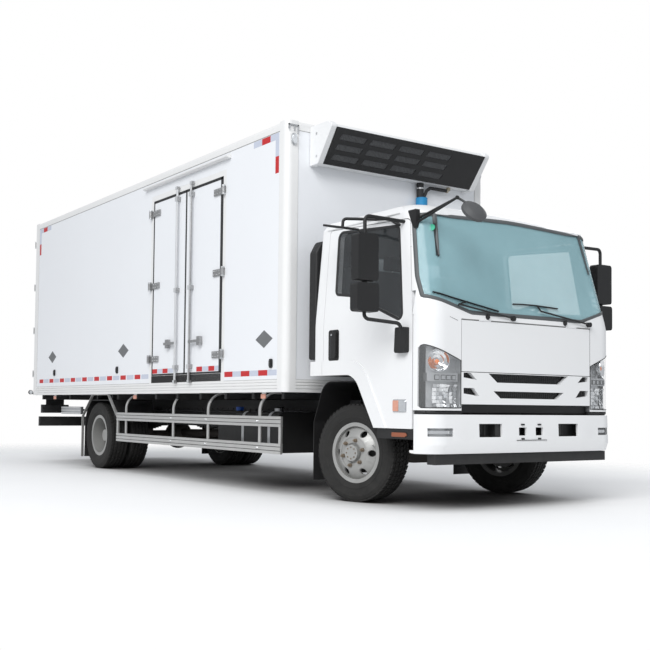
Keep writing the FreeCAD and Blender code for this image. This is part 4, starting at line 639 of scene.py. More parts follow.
beads = Form()
front_face = (-668.5, -667.2)
for side in (-1, 1):
    face = (side * 1164.6, side * 1166.2)
    spans = [(REAR_END, FRONT_END)] if side > 0 else [(REAR_END, DOORWAY[0]), (DOORWAY[1], FRONT_END)]
    for span in spans:
        beads.block(span, face, (SKIN_BOTTOM, SKIN_BOTTOM + 5), SEAL_LINE)
    beads.block((REAR_END, FRONT_END), face, (SKIN_TOP - 5.5, SKIN_TOP), SEAL_LINE)
    for x in ((-787, -782.4), (-7003, -6999)):
        beads.block(x, face, (SKIN_BOTTOM + 1, SKIN_TOP - 0.5), SEAL_LINE)
    beads.block(front_face, (side * 1047, side * 1051), (SKIN_BOTTOM + 1, SKIN_TOP - 0.5), SEAL_LINE)
    beads.block((REAR_END, -745), (side * 1000, side * 1006), (3270.6, 3272), SEAL_LINE)
for z in ((SKIN_TOP - 4.5, SKIN_TOP), (SKIN_BOTTOM, SKIN_BOTTOM + 4)):
    beads.block(front_face, (-1048, 1048), z, SEAL_LINE)
beads.piece("sealant_beads", "chassis", "panel_white")

# ------------------------------------------------------------------ edge rivets and gutter
# Aluminium pop rivets that hold the roof and sill profiles and the front corner posts, and the folded drip
# gutter over the side door.
PROFILE_FACE = 1168.6                    # the side profiles' outer faces
pops = []
for side in (-1, 1):
    for x in range(-6960, -800, 160):
        pops.append(((x, side * PROFILE_FACE, 3215), OUT[side], (9, 9, 7)))
        if side > 0 or not DOORWAY[0] - 15 < x < DOORWAY[1] + 15:
            pops.append(((x, side * PROFILE_FACE, 1000), OUT[side], (8, 8, 6)))
    pops += [((-664.4, side * 1065, z), (1, 0, 0), (8, 8, 6)) for z in range(960, 3180, 150)]
repeated("edge_rivets", "chassis", "aluminium", "rivet", pops, EDGE)
gutter = Form()
gutter.prism("yz", [(-1165, 3128), (-1190, 3124), (-1215, 3134), (-1218, 3146), (-1206, 3142), (-1186, 3134),
                    (-1168, 3168), (-1165, 3168)], -3526, -1646, EDGE)
gutter.piece("door_gutter", "chassis", "panel_white", bevel=0.001)

# ------------------------------------------------------------------ markings
# Stuck-on red and silver tape along the sides, L-shaped outline tape at the upper corners, grey vinyl
# diamonds, and tape across the doors. All lie flat on the skin.
RED = finish("tape_red", (0.50, 0.015, 0.018), 0.5, vary=0.12, size=60)
SILVER = finish("tape_silver", (0.52, 0.56, 0.66), 0.30, vary=0.10, size=60, coat=0.4)
GREY_MARK = finish("mark_grey", (0.14, 0.145, 0.15), 0.5, vary=0.12, size=20)
SKIN = 1165                              # a side skin's outer face, from the middle
TAPE = (1056, 1106)                      # between which heights the long tape lies
FRONT_TAPE = (1042, 1092)                # the same for the tape ahead of the side door
OUTLINE = (3126, 3184)                   # the same for the tape at the upper corners


def side_tape(form, x, z, side, material):
    """A strip of tape on a side skin."""
    form.block(x, (side * (SKIN - 0.5), side * (SKIN + 0.7)), z, material)


marks = Form()
for side in (-1, 1):
    for end, start in [(-6990, -3395), (-1725, -790)] if side < 0 else [(-6990, -790)]:
        if end > DOORWAY[0]:
            for k, x in enumerate(range(end, end + 930, 155)):
                side_tape(marks, (x, x + 154), FRONT_TAPE, side, SILVER if k % 2 else RED)
            continue
        for x in range(start - 12, end + 190, -390):
            side_tape(marks, (x - 180, x), TAPE, side, SILVER)
            if x - 358 > end:
                side_tape(marks, (x - 358, x - 208), TAPE, side, RED)
    for corner, way in ((-790, -1), (-6992, 1)):
        for k, material in enumerate((SILVER, RED, SILVER)):
            near = corner + way * (8 + 145 * k)
            side_tape(marks, (near, near + way * 145), OUTLINE, side, material)
        for k, material in enumerate((SILVER, RED)):
            top = OUTLINE[0] - 150 * k
            side_tape(marks, (corner + way * 8, corner + way * 66), (top - 150, top), side, material)
    for x, z in ((-1014, 1368), (-4088, 1388), (-6400, 1396)):
        diamond = [(x - 146, z), (x, z - 80), (x + 146, z), (x, z + 80)]
        marks.prism("xz", diamond, side * (SKIN - 0.5), side * (SKIN + 1), GREY_MARK)
for y in range(-1080, 1080, 150):
    marks.block((-7130, REAR_FRAME - 0.5), (y, y + 148), (930, 980), RED if (y // 150) % 2 else SILVER)
marks.piece("side_markings", "chassis", "lamp")
for name, start, end in (("side_door_rear", -3310, -2580), ("side_door_front", -2545, -1812)):
    tape = Form()
    for k, x in enumerate(range(start, end - 20, 125)):
        if not -2840 < x < -2400:
            side_tape(tape, (x, x + 120), (1108, 1156), -1, SILVER if k % 2 else RED)
    tape.piece("tape_" + name, name, "lamp")

# ------------------------------------------------------------------ side lamps
# Side marker lamps in moulded black housings screwed to the skin, and amber plastic reflectors on folded
# aluminium tabs under the sill.
GLOSS = finish("gloss_black", (0.008, 0.008, 0.009), 0.18, vary=0.1, coat=0.5)
PALE = finish("pale_lens", (0.62, 0.30, 0.22), 0.3, vary=0.2, size=40)
lamps = Form()
for x, z in ((-886, 1148), (-4246, 1172), (-6300, 1185)):
    for half, tall, depth, material in ((24, 40, (1164, 1178), BLACK), (15, 27, (1176, 1186), GLOSS)):
        lamps.prism("xz", rectangle((x - half, x + half), (z - tall, z + tall), half * 0.6), *depth, material)
for x in (-1058, -3809, -6350):
    lamps.block((x - 34, x + 34), (1128, 1133), (845, 896), EDGE)
    lamps.prism("xz", rectangle((x - 38, x + 38), (838, 880), 6), 1132, 1142, PALE)
lamps.mirror()
lamps.piece("side_lamps", "chassis", "lamp", bevel=0.0015)

# ------------------------------------------------------------------ corner irons
# Zinc-plated corner irons riveted to the front wall's upper corners, and the clear outline lamps in plated
# housings beside them.
CLEAR = finish("clear_lens", (0.62, 0.64, 0.66), 0.12, metal=0.55, vary=0.25, size=30, coat=0.8)
FRONT_FACE = -664.5                      # the front corner posts' faces
irons = Form()
for y, z in (((1052, 1158), (3222, 3236)), ((1052, 1066), (3160, 3236)), ((1144, 1158), (3190, 3236)),
             ((1090, 1104), (3180, 3226))):
    irons.block((FRONT_FACE, -655), y, z, ZINC)
irons.prism("yz", rectangle((1078, 1118), (3062, 3150), 20), FRONT_FACE, -640, CLEAR)
irons.prism("yz", rectangle((1070, 1126), (3054, 3158), 24), FRONT_FACE, -654, ZINC)
irons.mirror()
irons.piece("corner_irons", "chassis", "galvanised", bevel=0.001)

# ------------------------------------------------------------------ box doors
# Plywood-cored leaves with GRP skins, closed on black rubber seals, and zinc-plated gear: strap hinges,
# full-height lock rods with cams, and lever handles on catch plates.
GEAR = finish("door_gear", (0.40, 0.40, 0.40), 0.32, metal=0.9, vary=0.3, size=30, grain=0.2, grain_size=150)
ROD_PAINT = finish("rod_paint", (0.56, 0.57, 0.58), 0.38, metal=0.3, vary=0.08, size=20)
ROD = 152.0                              # from the seam between two leaves to each one's lock rod
SIDE_SEAM = -2563.0
RODS = {"side_door_rear": (0, SIDE_SEAM - ROD), "side_door_front": (0, SIDE_SEAM + ROD),
        "rear_door_left": (1, ROD), "rear_door_right": (1, -ROD)}    # measured along x (0) or y (1)
for name, (axis, line) in RODS.items():
    surface(name, PANEL)
    surface(name + "_gear", [GEAR, ROD_PAINT], bevel=0.0012, slot="galvanised",
            choose=lambda p, n: 1 if abs(p[axis] - line) < 13.5 else 0)
    low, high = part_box(name)
    x = ((low.x - AXLE) * 1000, (high.x - AXLE) * 1000)
    y, z = (low.y * 1000, high.y * 1000), (low.z * 1000, high.z * 1000)
    seal = Form()
    if axis == 0:
        face = (y[0] - 3.0, y[0] + 20)
        # Along the top, and at the front leaf's hinge edge, the rubber bands are wider than a seal: partly
        # seal, partly painted shadow in the gap and under the gutter.
        for band in ((z[0] - 4, z[0] + 12), (z[1] - 22, z[1] + 4)):
            seal.block((x[0] - 3, x[1] + 3), face, band, RUBBER)
        edges = {"side_door_rear": ((-4, 18), (-11, 2.6)), "side_door_front": ((-2.6, 11), (-42, 4))}[name]
        for edge, (near, far) in zip(x, edges):
            seal.block((edge + near, edge + far), face, z, RUBBER)
    else:
        face = (x[0] - 3.0, x[0] + 20)
        for band in ((z[0] - 4, z[0] + 12), (z[1] - 16, z[1] + 4)):
            seal.block(face, (y[0] - 2, y[1] + 2), band, RUBBER)
        for edge in ((y[0] - 2.6, y[0] + 12), (y[1] - 12, y[1] + 2.6)):
            seal.block(face, edge, z, RUBBER)
    seal.piece("seal_" + name, name, "rubber", bevel=0.0015)

# ------------------------------------------------------------------ hinge bolts and sill
# Plated bolts that fix each hinge strap to its leaf, and the ribbed rubber mat glued on the side door's
# sill.
STRAP = [(along, up) for along in (40, 92, 144) for up in (-17, 17)]    # a strap's bolts, from its pin
for name, pin, way in (("side_door_rear", -3324, 1), ("side_door_front", -1796, -1)):
    bolts = [((pin + way * along, -1179, z + up), OUT[-1], (13, 13, 14))
             for z in (1262, 2052, 2838) for along, up in STRAP]
    repeated("hinge_bolts_" + name, name, "galvanised", "rivet", bolts, ZINC)
for name, side in (("rear_door_left", 1), ("rear_door_right", -1)):
    bolts = [((-7133, side * (1103 - along), z + up), (-1, 0, 0), (13, 13, 14))
             for z in (1190, 1790, 2390, 2990) for along, up in STRAP]
    repeated("hinge_bolts_" + name, name, "galvanised", "rivet", bolts, ZINC)
ribs = [((x, SILL_FACE, 1045), OUT[-1], (5, 74, 4)) for x in range(-3325, -1790, 12)]
repeated("sill_ribs", "chassis", "rubber", "block", ribs, RUBBER)

# ------------------------------------------------------------------ load space
# Ribbed aluminium floor boards, lashing rails screwed to both side walls, and the evaporator's housing on
# the front wall with its two fans.
UNIT = finish("unit_white", (0.78, 0.785, 0.79), 0.40, vary=0.02, grain=0.08, grain_size=250)
boards = [((-3880, y, 1003.5), (0, 0, 1), (6100, 16, 6)) for y in range(-1040, 1050, 40)]
repeated("floor_ribs", "chassis", "aluminium", "block", boards, ALU)
rails = Form()
for z in (1500, 2300):
    rails.block((-6950, -790), (1066, 1080), (z, z + 90), ALU)
    for x in ((-6950, -3420), (-1700, -790)):
        rails.block(x, (-1080, -1066), (z, z + 90), ALU)
rails.block((-1010, -760), (-560, 560), (2760, 3120), UNIT)
for y in (-280, 280):
    rails.lathe([(200, 0), (200, 12), (184, 12), (184, 0)], (-1010, y, 2940), (-1, 0, 0), BLACK, 40,
                closed=True)
    rails.lathe([(0, 2), (184, 2)], (-1010, y, 2940), (-1, 0, 0), COIL, 40)
rails.piece("load_space_fittings", "chassis", "aluminium", bevel=0.002)

# ------------------------------------------------------------------ refrigeration unit
# Moulded white housing with a black front cover. Behind its slots lies a grey condenser coil with fine
# slanted fins. The hoses run down the wall in a black cover with a blue sleeve.
SLEEVE = finish("blue_sleeve", (0.015, 0.24, 0.50), 0.55, vary=0.15, size=20, grain=0.3)
COVER = finish("cover_black", (0.0045, 0.0045, 0.005), 0.5, vary=0.2, grain=0.2, grain_size=500)
TAN = finish("insulation", (0.45, 0.40, 0.30), 0.8, vary=0.2, size=30, grain=0.4)
surface("refrigeration_unit", UNIT, bevel=0.006)
surface("unit_grille", COVER, bevel=0.0015, slot="black_plastic")


def hose_finish(p, n):
    """Blue on the sleeve, which stands out round the cover of the hoses; rubber elsewhere."""
    beside = math.hypot(p.x + 607.7, p.y - 315) > 50
    return 1 if 2670 < p.z < 2760 and (abs(n.z) > 0.9 or beside) else 0


surface("unit_hoses", [RUBBER, SLEEVE], choose=hose_finish)
slope = Vector((227, 0, 282)).normalized()           # up the cover
outward = Vector((slope.z, 0, -slope.x))             # square to the cover
foot = Vector((-560, 0, 2902))                       # the middle of the cover's lower edge


def on_cover(across, up, out):
    """A place on the unit's sloping front, in millimetres across, up the slope and out of it."""
    return foot + Vector((0, across, 0)) + slope * up + outward * out


coil = Form()
corners = [on_cover(a, b, c) for a in (-815, 830) for b in (46, 312) for c in (0.5, 2.5)]
coil.skin(corners, CUBE, COIL)
coil.piece("unit_coil", "chassis", "black_plastic")
fins = []
for row in range(3):
    for column in range(5):
        for k in range(17):
            across = -792 + 330.6 * column + 16.2 * k
            fins.append((on_cover(across, 81 + 97.7 * row, 4.0), outward, (3.0, 62, 5.0), 0.34))
repeated("unit_fins", "chassis", "black_plastic", "block", fins, COIL)
trim = Form()
for side in (-1, 1):
    for z in (2960, 3160):
        trim.rod((-560, side * 929, z), (-560, side * 932, z), 12, ZINC, 12)
for z in (1120, 1640, 2180, 2560, 2850):
    trim.lathe([(33, -7), (36, -7), (36, 7), (33, 7)], (-629.7, 315, z), (0, 0, 1), ZINC, 32, closed=True)
trim.rod((-617.7, 660, 2872), (-617.7, 660, 2900), 20, TAN, 20)
trim.rod((-617.7, 634, 2868), (-617.7, 650, 2868), 19, TAN, 20)
trim.piece("unit_trim", "chassis", "rubber", bevel=0.001)

# ------------------------------------------------------------------ cab
# Pressed steel cab in white enamel. The outer skins are painted, the inner ones trimmed in grey plastic.
# Brown marker lamps are screwed to the step panels. The glass is tinted, and the screen's pale teal colour is
# also a painted reflection of the sky, in patches of a darker teal.
PAINT = finish("white_paint", (0.79, 0.795, 0.80), 0.30, coat=0.5, vary=0.006, dust=0.06, dust_top=0.75)
TRIM = finish("interior", (0.13, 0.135, 0.14), 0.70, vary=0.1, grain=0.4, grain_size=600)
# The screen's bright teal stands for its tint and a painted sky reflection together.
SCREEN_TINT_AND_PAINTED_REFLECTION = finish("glass", (0.47, 0.74, 0.80), 0.10, vary=0.2, size=0.9, second=(0.31, 0.54, 0.59), alpha=0.38)
WINDOW = finish("side_glass", (0.045, 0.05, 0.053), 0.05, vary=0.3, size=2.0, alpha=0.36, coat=1.0)
BROWN = finish("dark_lens", (0.28, 0.085, 0.04), 0.3, vary=0.2, size=40)
# Height, half width, front, rear, corner radius and bow of the front, from the steps to the roof.
SECTIONS = ((592, 1037, 1082, -420, 178, 16), (1440, 1037, 1082, -420, 178, 16),
            (1500, 1034, 1070, -420, 178, 16), (2268, 973, 876, -405, 170, 20),
            (2330, 925, 792, -380, 160, 22), (2372, 797, 632, -290, 150, 24))


def section_at(z):
    """Half width, front, rear, corner radius and bow of the cab at a height."""
    z = min(max(z, SECTIONS[0][0]), SECTIONS[-1][0])
    for low, high in zip(SECTIONS, SECTIONS[1:]):
        if z <= high[0]:
            t = (z - low[0]) / (high[0] - low[0])
            return [a + (b - a) * t for a, b in zip(low[1:], high[1:])]


def skin_x(y, z, out=0.0):
    """How far forward the cab's front skin lies at a height and distance from the middle."""
    half, front, rear, radius, bow = section_at(z)
    flat = half - radius
    if abs(y) <= flat:
        return front - bow * (y / flat) ** 2 + out
    turn = min(abs(y) - flat, radius - 1)
    return front - bow - radius + math.sqrt((radius + out) ** 2 - turn ** 2)


def within(p, inset):
    """True if a place lies deeper than inset inside the cab's outer skin."""
    half, front, rear, radius, bow = section_at(p.z)
    return abs(p.y) < half - inset and rear + inset < p.x < skin_x(p.y, p.z) - inset and p.z < 2372 - inset


def away(p):
    """Direction out of the cab at a place on its skin."""
    return Vector((max(0.0, p.x - 600) * 1.6, p.y, max(0.0, p.z - 1900) * 0.7)).normalized()


def shell_finish(p, n):
    """Trim on what faces inward, black on the rim of the screen's opening, paint elsewhere."""
    facing = n.dot(away(p))
    if within(p, 44) or facing < -0.3 and within(p, 10):
        return 1
    return 2 if facing < 0.6 and p.x > 700 and 1540 < p.z < 2250 and abs(p.y) < 965 and within(p, 1) else 0


surface("cab_shell", [PAINT, TRIM, RUBBER], choose=shell_finish)
surface("front_lid", [PAINT, BLACK], choose=lambda p, n: 1 if n.x < -0.5 else 0)
surface("grille_panel", [PAINT, BLACK], choose=lambda p, n: 1 if n.x < -0.3 else 0)
for side in ("left", "right"):
    surface("cab_door_" + side, [PAINT, TRIM], choose=lambda p, n: 1 if within(p, 50) else 0)
    surface("door_glass_" + side, WINDOW, slot="glass")
surface("cab_glass", SCREEN_TINT_AND_PAINTED_REFLECTION)
surface("cab_floor", [BLACK, RUBBER], choose=lambda p, n: 1 if n.z > 0.9 else 0)
surface("snorkel", BLACK, bevel=0.018)
surface("front_mudguards", BLACK)
markers = Form()
for side in (-1, 1):
    markers.prism("xz", [(645, 549, 6), (796, 549, 6), (824, 562, 5), (806, 582, 8), (645, 582, 6)],
                  side * 1026.5, side * 1036, BROWN)
markers.piece("step_markers", "cab", "lamp", bevel=0.002)

# ------------------------------------------------------------------ window gaskets and door furniture
# Extruded rubber gaskets that follow the rims of the screen, the rear window and the door glass. Each door
# has a moulded pull handle with its lock, a marker lamp, and a plastic inner card with an armrest.
GASKET = finish("gasket_grey", (0.085, 0.092, 0.096), 0.55, vary=0.15, grain=0.2, grain_size=300)
CHROME = finish("chrome", (0.78, 0.79, 0.80), 0.07, metal=1.0, vary=0.06, size=20)


def rims_of(name):
    """The closed outlines of a pane's outer faces, as lists of places, longest first."""
    bm = bmesh.new()
    bm.from_mesh(frame["nodes"][name].data)
    bmesh.ops.remove_doubles(bm, verts=bm.verts, dist=2e-5)
    bm.normal_update()

    def placed(co):
        return Vector(((co.x - AXLE) * 1000, co.y * 1000, co.z * 1000))

    outer = {f.index for f in bm.faces if f.normal.dot(away(placed(f.calc_center_median()))) > 0.55}
    beside = {}
    for e in bm.edges:
        if sum(f.index in outer for f in e.link_faces) == 1:
            for v in e.verts:
                beside.setdefault(v, []).append(e.other_vert(v))
    loops, seen = [], set()
    for start in beside:
        path = []
        here = start
        while here is not None and here not in seen:
            seen.add(here)
            path.append(here)
            here = next((v for v in beside[here] if v not in seen), None)
        if len(path) > 8:
            loops.append([placed(v.co) for v in path])
    bm.free()
    return sorted(loops, key=lambda q: -sum((a - b).length for a, b in zip(q, q[1:])))


def thinned(points, least=9.0):
    """The outline without places closer than least to the one before."""
    kept = [points[0]]
    for p in points[1:]:
        if (p - kept[-1]).length > least:
            kept.append(p)
    if (kept[-1] - kept[0]).length < least:
        kept.pop()
    return kept


seals = Form()
seals.tube(thinned(rims_of("cab_glass")[0]), 19, GASKET, 8, closed=True, flat=0.4, out=away)
corners = rounded(rectangle((-620, 620), (1700, 2100), 40))
seals.tube([(-404, p.x, p.y) for p in corners], 13, RUBBER, 8, closed=True, flat=0.6,
           out=lambda p: Vector((-1, 0, 0)))
seals.piece("screen_gaskets", "cab", "rubber")
for side in ("left", "right"):
    sign = 1 if side == "left" else -1
    gasket = Form()
    gasket.tube(thinned(rims_of("door_glass_" + side)[0]), 13, RUBBER, 8, closed=True, flat=0.5, out=away)
    gasket.piece("window_gasket_" + side, "cab_door_" + side, "rubber")

    # Pull handle in its recess with the lock, marker lamp, and the inner card with its armrest and winder.
    gear = Form()
    for x, z, radius, depth, material in (
            ((-192, -46), (1150, 1405), 22, (1036.5, 1040.5), BLACK),
            ((-170, -104), (1176, 1380), 18, (1040.5, 1046), GLOSS),
            ((-126, -66), (1172, 1384), 16, (1040.5, 1062), BLACK),
            ((662, 826), (734, 832), 14, (1036.5, 1041), CHROME),
            ((670, 734), (742, 824), 10, (1036.5, 1048), PALE),
            ((740, 818), (742, 824), 10, (1036.5, 1048), CLEAR)):
        gear.prism("xz", rectangle(x, z, radius), sign * depth[0], sign * depth[1], material)
    gear.rod((-119, sign * 1040, 1362), (-119, sign * 1066, 1362), 9, ZINC, 16)
    gear.prism("xz", [(-200, 1500, 30), (640, 1440, 60), (700, 1180, 40), (-200, 1180, 30)],
               sign * 955, sign * 979, TRIM)
    gear.prism("xz", rectangle((-120, 400), (1390, 1350), 14), sign * 900, sign * 956, TRIM)
    gear.rod((520, sign * 950, 1330), (520, sign * 925, 1330), 16, BLACK, 16)
    gear.piece("door_gear_" + side, "cab_door_" + side, "black_plastic", bevel=0.0015)

# ------------------------------------------------------------------ cab trim
# Rolled gutters along the roof's sides, painted with the cab; black washer jets and the sealed joint under
# the screen; a short joint at the right-hand corner, and a green disc stuck in the screen's upper corner.
GREEN = finish("check_disc", (0.02, 0.42, 0.25), 0.4, vary=0.1, size=40)
GUTTER = 2262            # height of the roof gutters
JETS = 1462              # height of the washer jets
trim = Form()
for side in (-1, 1):
    rail = [(x, side * (section_at(GUTTER)[0] + 3), GUTTER + 6 * math.sin((x + 300) / 900))
            for x in range(-300, 720, 60)]
    trim.tube(smooth_path(rail, 2), 7, PAINT, 8)
for y in (-451, 408):
    x = skin_x(y, JETS)
    trim.rod((x - 4, y, JETS), (x + 14, y, JETS + 4), 21, BLACK, 20, tip=15)
    trim.rod((x + 6, y, JETS + 6), (x + 16, y + 8, JETS + 26), 8, BLACK, 10)
joint = ((-826, 1447), (-800, 1439), (-775, 1431), (-750, 1423))
trim.tube([(skin_x(y, z) + 0.4, y, z) for y, z in joint], 1.6, BLACK, 6)
trim.tube([(skin_x(y, 1437) - 10, y, 1437) for y in range(-740, 741, 40)], 3, SEAL_LINE, 6)
spot = Vector((skin_x(-852, 2136), -852, 2136))
trim.rod(spot - away(spot) * 3, spot + away(spot) * 2, 26, GREEN, 24)
trim.piece("cab_trim", "cab", "white_paint", bevel=0.001)

# ------------------------------------------------------------------ head lamps
# Clear polycarbonate lens over a silvered housing: a round indicator bowl with an orange bulb, a ledge with
# four small squares, and a multi-faceted reflector below. Its facets take pale, chrome and grey finishes in
# turn: painted glints and shade on one silvered surface.
AMBER = finish("amber_lens", (0.75, 0.19, 0.03), 0.22, vary=0.15, size=40, coat=0.6)
LENS = finish("lamp", (0.85, 0.87, 0.88), 0.04, vary=0.05, alpha=0.13, coat=1.0)
MESHED = finish("lamp_housing", (0.46, 0.47, 0.48), 0.3, metal=0.8, vary=0.2, size=30)
# A pale finish that some of the reflector's facets take: painted glints.
FACET_GLINT = finish("lamp_facet", (0.84, 0.85, 0.86), 0.16, metal=0.5, vary=0.1, size=60)
surface("headlamps", [LENS, MESHED], slot="lamp", choose=lambda p, n: 1 if within(p, 3) else 0)
bowls = Form()
aim = Vector((0.89, -0.46, 0.02)).normalized()
centre = Vector((skin_x(-900, 1120) - 46, -900, 1120))
bowls.lathe([(13, -24), (45, -15), (69, 4), (81, 24), (86, 24), (86, 20), (72, -2), (47, -21), (13, -30)],
            centre, aim, CHROME, 40, closed=True)
bowls.lathe([(0, 16), (15, 11), (19, -4), (12, -20), (0, -22)], centre + Vector((0, -8, -6)), aim, AMBER, 16)
shelf = [(skin_x(y, 1000) - 16, y) for y in range(-735, -990, -28)]
bowls.prism("xy", shelf + [(x - 60, y + 12) for x, y in reversed(shelf)], 968, 1030, MESHED)
for k in range(4):
    y = -778 - 50 * k
    x = skin_x(y, 996)
    for grow, front, material in ((19, 12, BLACK), (14, 9, MESHED)):
        bowls.block((x - 17, x - front), (y - grow, y + grow), (996 - grow, 996 + grow), material,
                    Matrix.Rotation(-0.10 - 0.13 * k, 3, "Z"))
for row in range(6):
    for column in range(7):
        y, z = -749 - 31 * column, 789 + 29 * row
        aside, above = y + 842, z - 861
        deep = 34 * (1 - (aside / 125) ** 2) * (1 - (above / 115) ** 2)
        lean = 0.30 * math.sin(column * 2.4 + row * 1.1)
        turn = Matrix.Rotation(aside * 0.004 - 0.18 + lean, 3, "Z")
        turn @= Matrix.Rotation(above * 0.006 - lean, 3, "Y")
        x = skin_x(y, z) - 18 - deep
        # Painted glints and shade: the silvered facets take pale, chrome or grey finishes in turn.
        material = (FACET_GLINT, CHROME, FACET_GLINT, MESHED, CHROME)[(row * 2 + column * 3) % 5]
        bowls.block((x - 3, x), (y - 14.5, y + 14.5), (z - 13.5, z + 13.5), material, turn)
bulb = (skin_x(-838, 861) - 46, -838, 861)
bowls.lathe([(0, 24), (15, 18), (15, -2), (0, -4)], bulb, (0.97, -0.24, 0), CLEAR, 20)
right_rim = next(rim for rim in rims_of("headlamps") if rim[0].y < 0)
bowls.tube(thinned(right_rim), 3.5, BLACK, 6, closed=True, out=away)
bowls.mirror()
bowls.piece("lamp_reflectors", "cab", "lamp", angle=12)

# ------------------------------------------------------------------ grille
# Black wire mesh behind the painted bars of the grille, a dark mouth below them, and moulded rubbing strips
# clipped under the corner panels.
STRIP = 737              # height of the rubbing strips
back = Form()
back.block((1030, 1034), (-700, 700), (806, 1038), GLOSS)
back.block((985, 1034), (-700, 700), (735, 800), COVER)
for side in (-1, 1):
    back.block((940, 1000), (side * 700, side * 1000), (733, 752), COVER)
back.piece("grille_backing", "cab", "black_plastic")
wires = [((1040, y, 922), (0, 0, 1), (3, 3, 228)) for y in range(-690, 695, 22)]
wires += [((1041, 0, z), (0, 0, 1), (3, 1390, 3)) for z in range(816, 1040, 11)]
repeated("grille_mesh", "cab", "black_plastic", "block", wires, BLACK)
strips = Form()
for side in (-1, 1):
    edge = [(skin_x(y, STRIP) - 22, side * y, STRIP) for y in range(1000, 690, -50)]
    strips.tube(smooth_path([(908, side * 1022, STRIP)] + edge, 3), 14, BLACK, 8)
strips.piece("corner_strip", "cab", "black_plastic")

# ------------------------------------------------------------------ mirrors
# Grained black heads moulded round bent steel tubes, with silvered glass on the side that faces back or
# down.
MIRROR = finish("mirror_silver", (0.80, 0.82, 0.83), 0.03, metal=1.0, vary=0.03)
HEAD_GREY = finish("head_grey", (0.075, 0.077, 0.080), 0.55, vary=0.15, grain=0.3, grain_size=500)
MIRROR_ARM = 1325        # from the middle of the truck to the middle of a main mirror
for side, sign in (("left", 1), ("right", -1)):
    surface("mirror_" + side, BLACK, bevel=0.007, angle=40)
    middle = sign * MIRROR_ARM
    glass = Form()
    for low, high, half in ((1730, 2044, 80), (1498, 1676, 86)):
        glass.prism("yz", rectangle((middle - half, middle + half), (low, high), 18), 629.5, 633, MIRROR)
    glass.rod((672, middle, 1690), (672, middle, 1716), 20, BLACK, 16)
    glass.piece("mirror_glass_" + side, "cab_door_" + side, "black_plastic")
LOOK_DOWN = Vector((1240, -760, 2205))               # the middle of the look-down mirror
surface("front_mirror", [HEAD_GREY, BLACK], slot="black_plastic",
        choose=lambda p, n: 0 if (p - LOOK_DOWN).length < 125 and p.x > 1180 else 1)
disc = Form()
disc.lathe([(0, 0.4), (92, 0.4), (90, 2.4), (0, 3.4)], LOOK_DOWN, (-0.8, 0.1, -0.6), MIRROR, 48)
disc.piece("front_mirror_glass", "cab", "black_plastic")
kerb = Form()
kerb.block((52, 303), (-1252, -1128), (2187.0, 2188.8), MIRROR, Matrix.Rotation(math.atan2(60, 285), 3, "Y"))
kerb.piece("kerb_mirror_glass", "cab_door_right", "black_plastic")

# ------------------------------------------------------------------ wipers
# Parked wipers: painted steel arms on splined pivots, and rubber blades in metal carriers that follow the
# curve of the screen.
PIVOTS = 1468            # height of the wipers' pivots
surface("wipers", BLACK)
blades = Form()
for pivot_y, line, tip in (
        (-190.0, [(-330, 1519), (-480, 1545), (-640, 1573), (-800, 1602), (-940, 1632)], (-740, 1541)),
        (690.0, [(345, 1583), (220, 1588), (95, 1592), (-35, 1592), (-160, 1588)], (140, 1541))):
    line = [(p.x, p.y) for p in smooth_path([(y, z, 0) for y, z in line], 4)]
    middle = line[len(line) // 2]
    blades.tube([(skin_x(y, z) + 10, y, z) for y, z in line], 7, BLACK, 6, flat=0.5,
                out=lambda p: Vector((0.2, 0, 1)))
    blades.tube([(skin_x(y, z) + 4, y, z - 3) for y, z in line], 5, RUBBER, 6)
    bend = ((tip[0] + middle[0]) / 2, (tip[1] + middle[1]) / 2 + 4)
    blades.tube([(skin_x(y, z) + 14, y, z) for y, z in (tip, bend, middle)], 6, BLACK, 8)
    x = skin_x(pivot_y, PIVOTS)
    blades.rod((x - 8, pivot_y, PIVOTS), (x + 16, pivot_y, PIVOTS + 2), 22, BLACK, 20, tip=16)
blades.piece("wiper_blades", "cab", "rubber")

# ------------------------------------------------------------------ dashboard
# Grained moulded fascia, screwed to the cab's front wall, with a hooded cluster and vents. The gear lever
# stands on the floor, with three pedals in front of the driver and sun visors over the screen.
surface("dashboard", [TRIM, BLACK], slot="interior", choose=lambda p, n: 1 if p.x < 700 or p.z > 1457 else 0)
dash = Form()
dash.prism("xz", [(745, 1440, 10), (900, 1452, 10), (900, 1490, 20), (760, 1520, 20)], 330, 610, BLACK)
dash.block((742, 752), (350, 590), (1452, 1506), GLOSS)
dash.block((722, 760), (-120, 130), (1350, 1440), GLOSS)
for y in (-700, -420, 200, 760):
    dash.block((716, 742), (y - 60, y + 60), (1382, 1424), BLACK)
dash.rod((640, 60, 1180), (560, 60, 1420), 9, BLACK, 10)
dash.lathe([(0, 0), (20, 8), (26, 26), (18, 44), (0, 50)], (560, 60, 1410), (0, 0, 1), BLACK, 16)
for y in (330, 430, 560):
    dash.block((800, 812), (y - 25, y + 25), (960, 1030), RUBBER, Matrix.Rotation(0.5, 3, "Y"))
for side in (-1, 1):
    dash.block((690, 700), (side * 150, side * 640), (2150, 2270), TRIM, Matrix.Rotation(-0.4, 3, "Y"))
dash.block((742, 752), (-110, 110), (2120, 2180), BLACK)
dash.piece("fascia_fittings", "cab", "interior", bevel=0.003)

# ------------------------------------------------------------------ seats
# Driver's seat and a bench for two: foam cushions, softly crowned and with sewn channels, covered in cloth,
# on black steel frames, with head rests on plated rods.
CLOTH = finish("seat_cloth", (0.075, 0.080, 0.090), 0.92, vary=0.25, size=30, grain=0.8, grain_size=900)


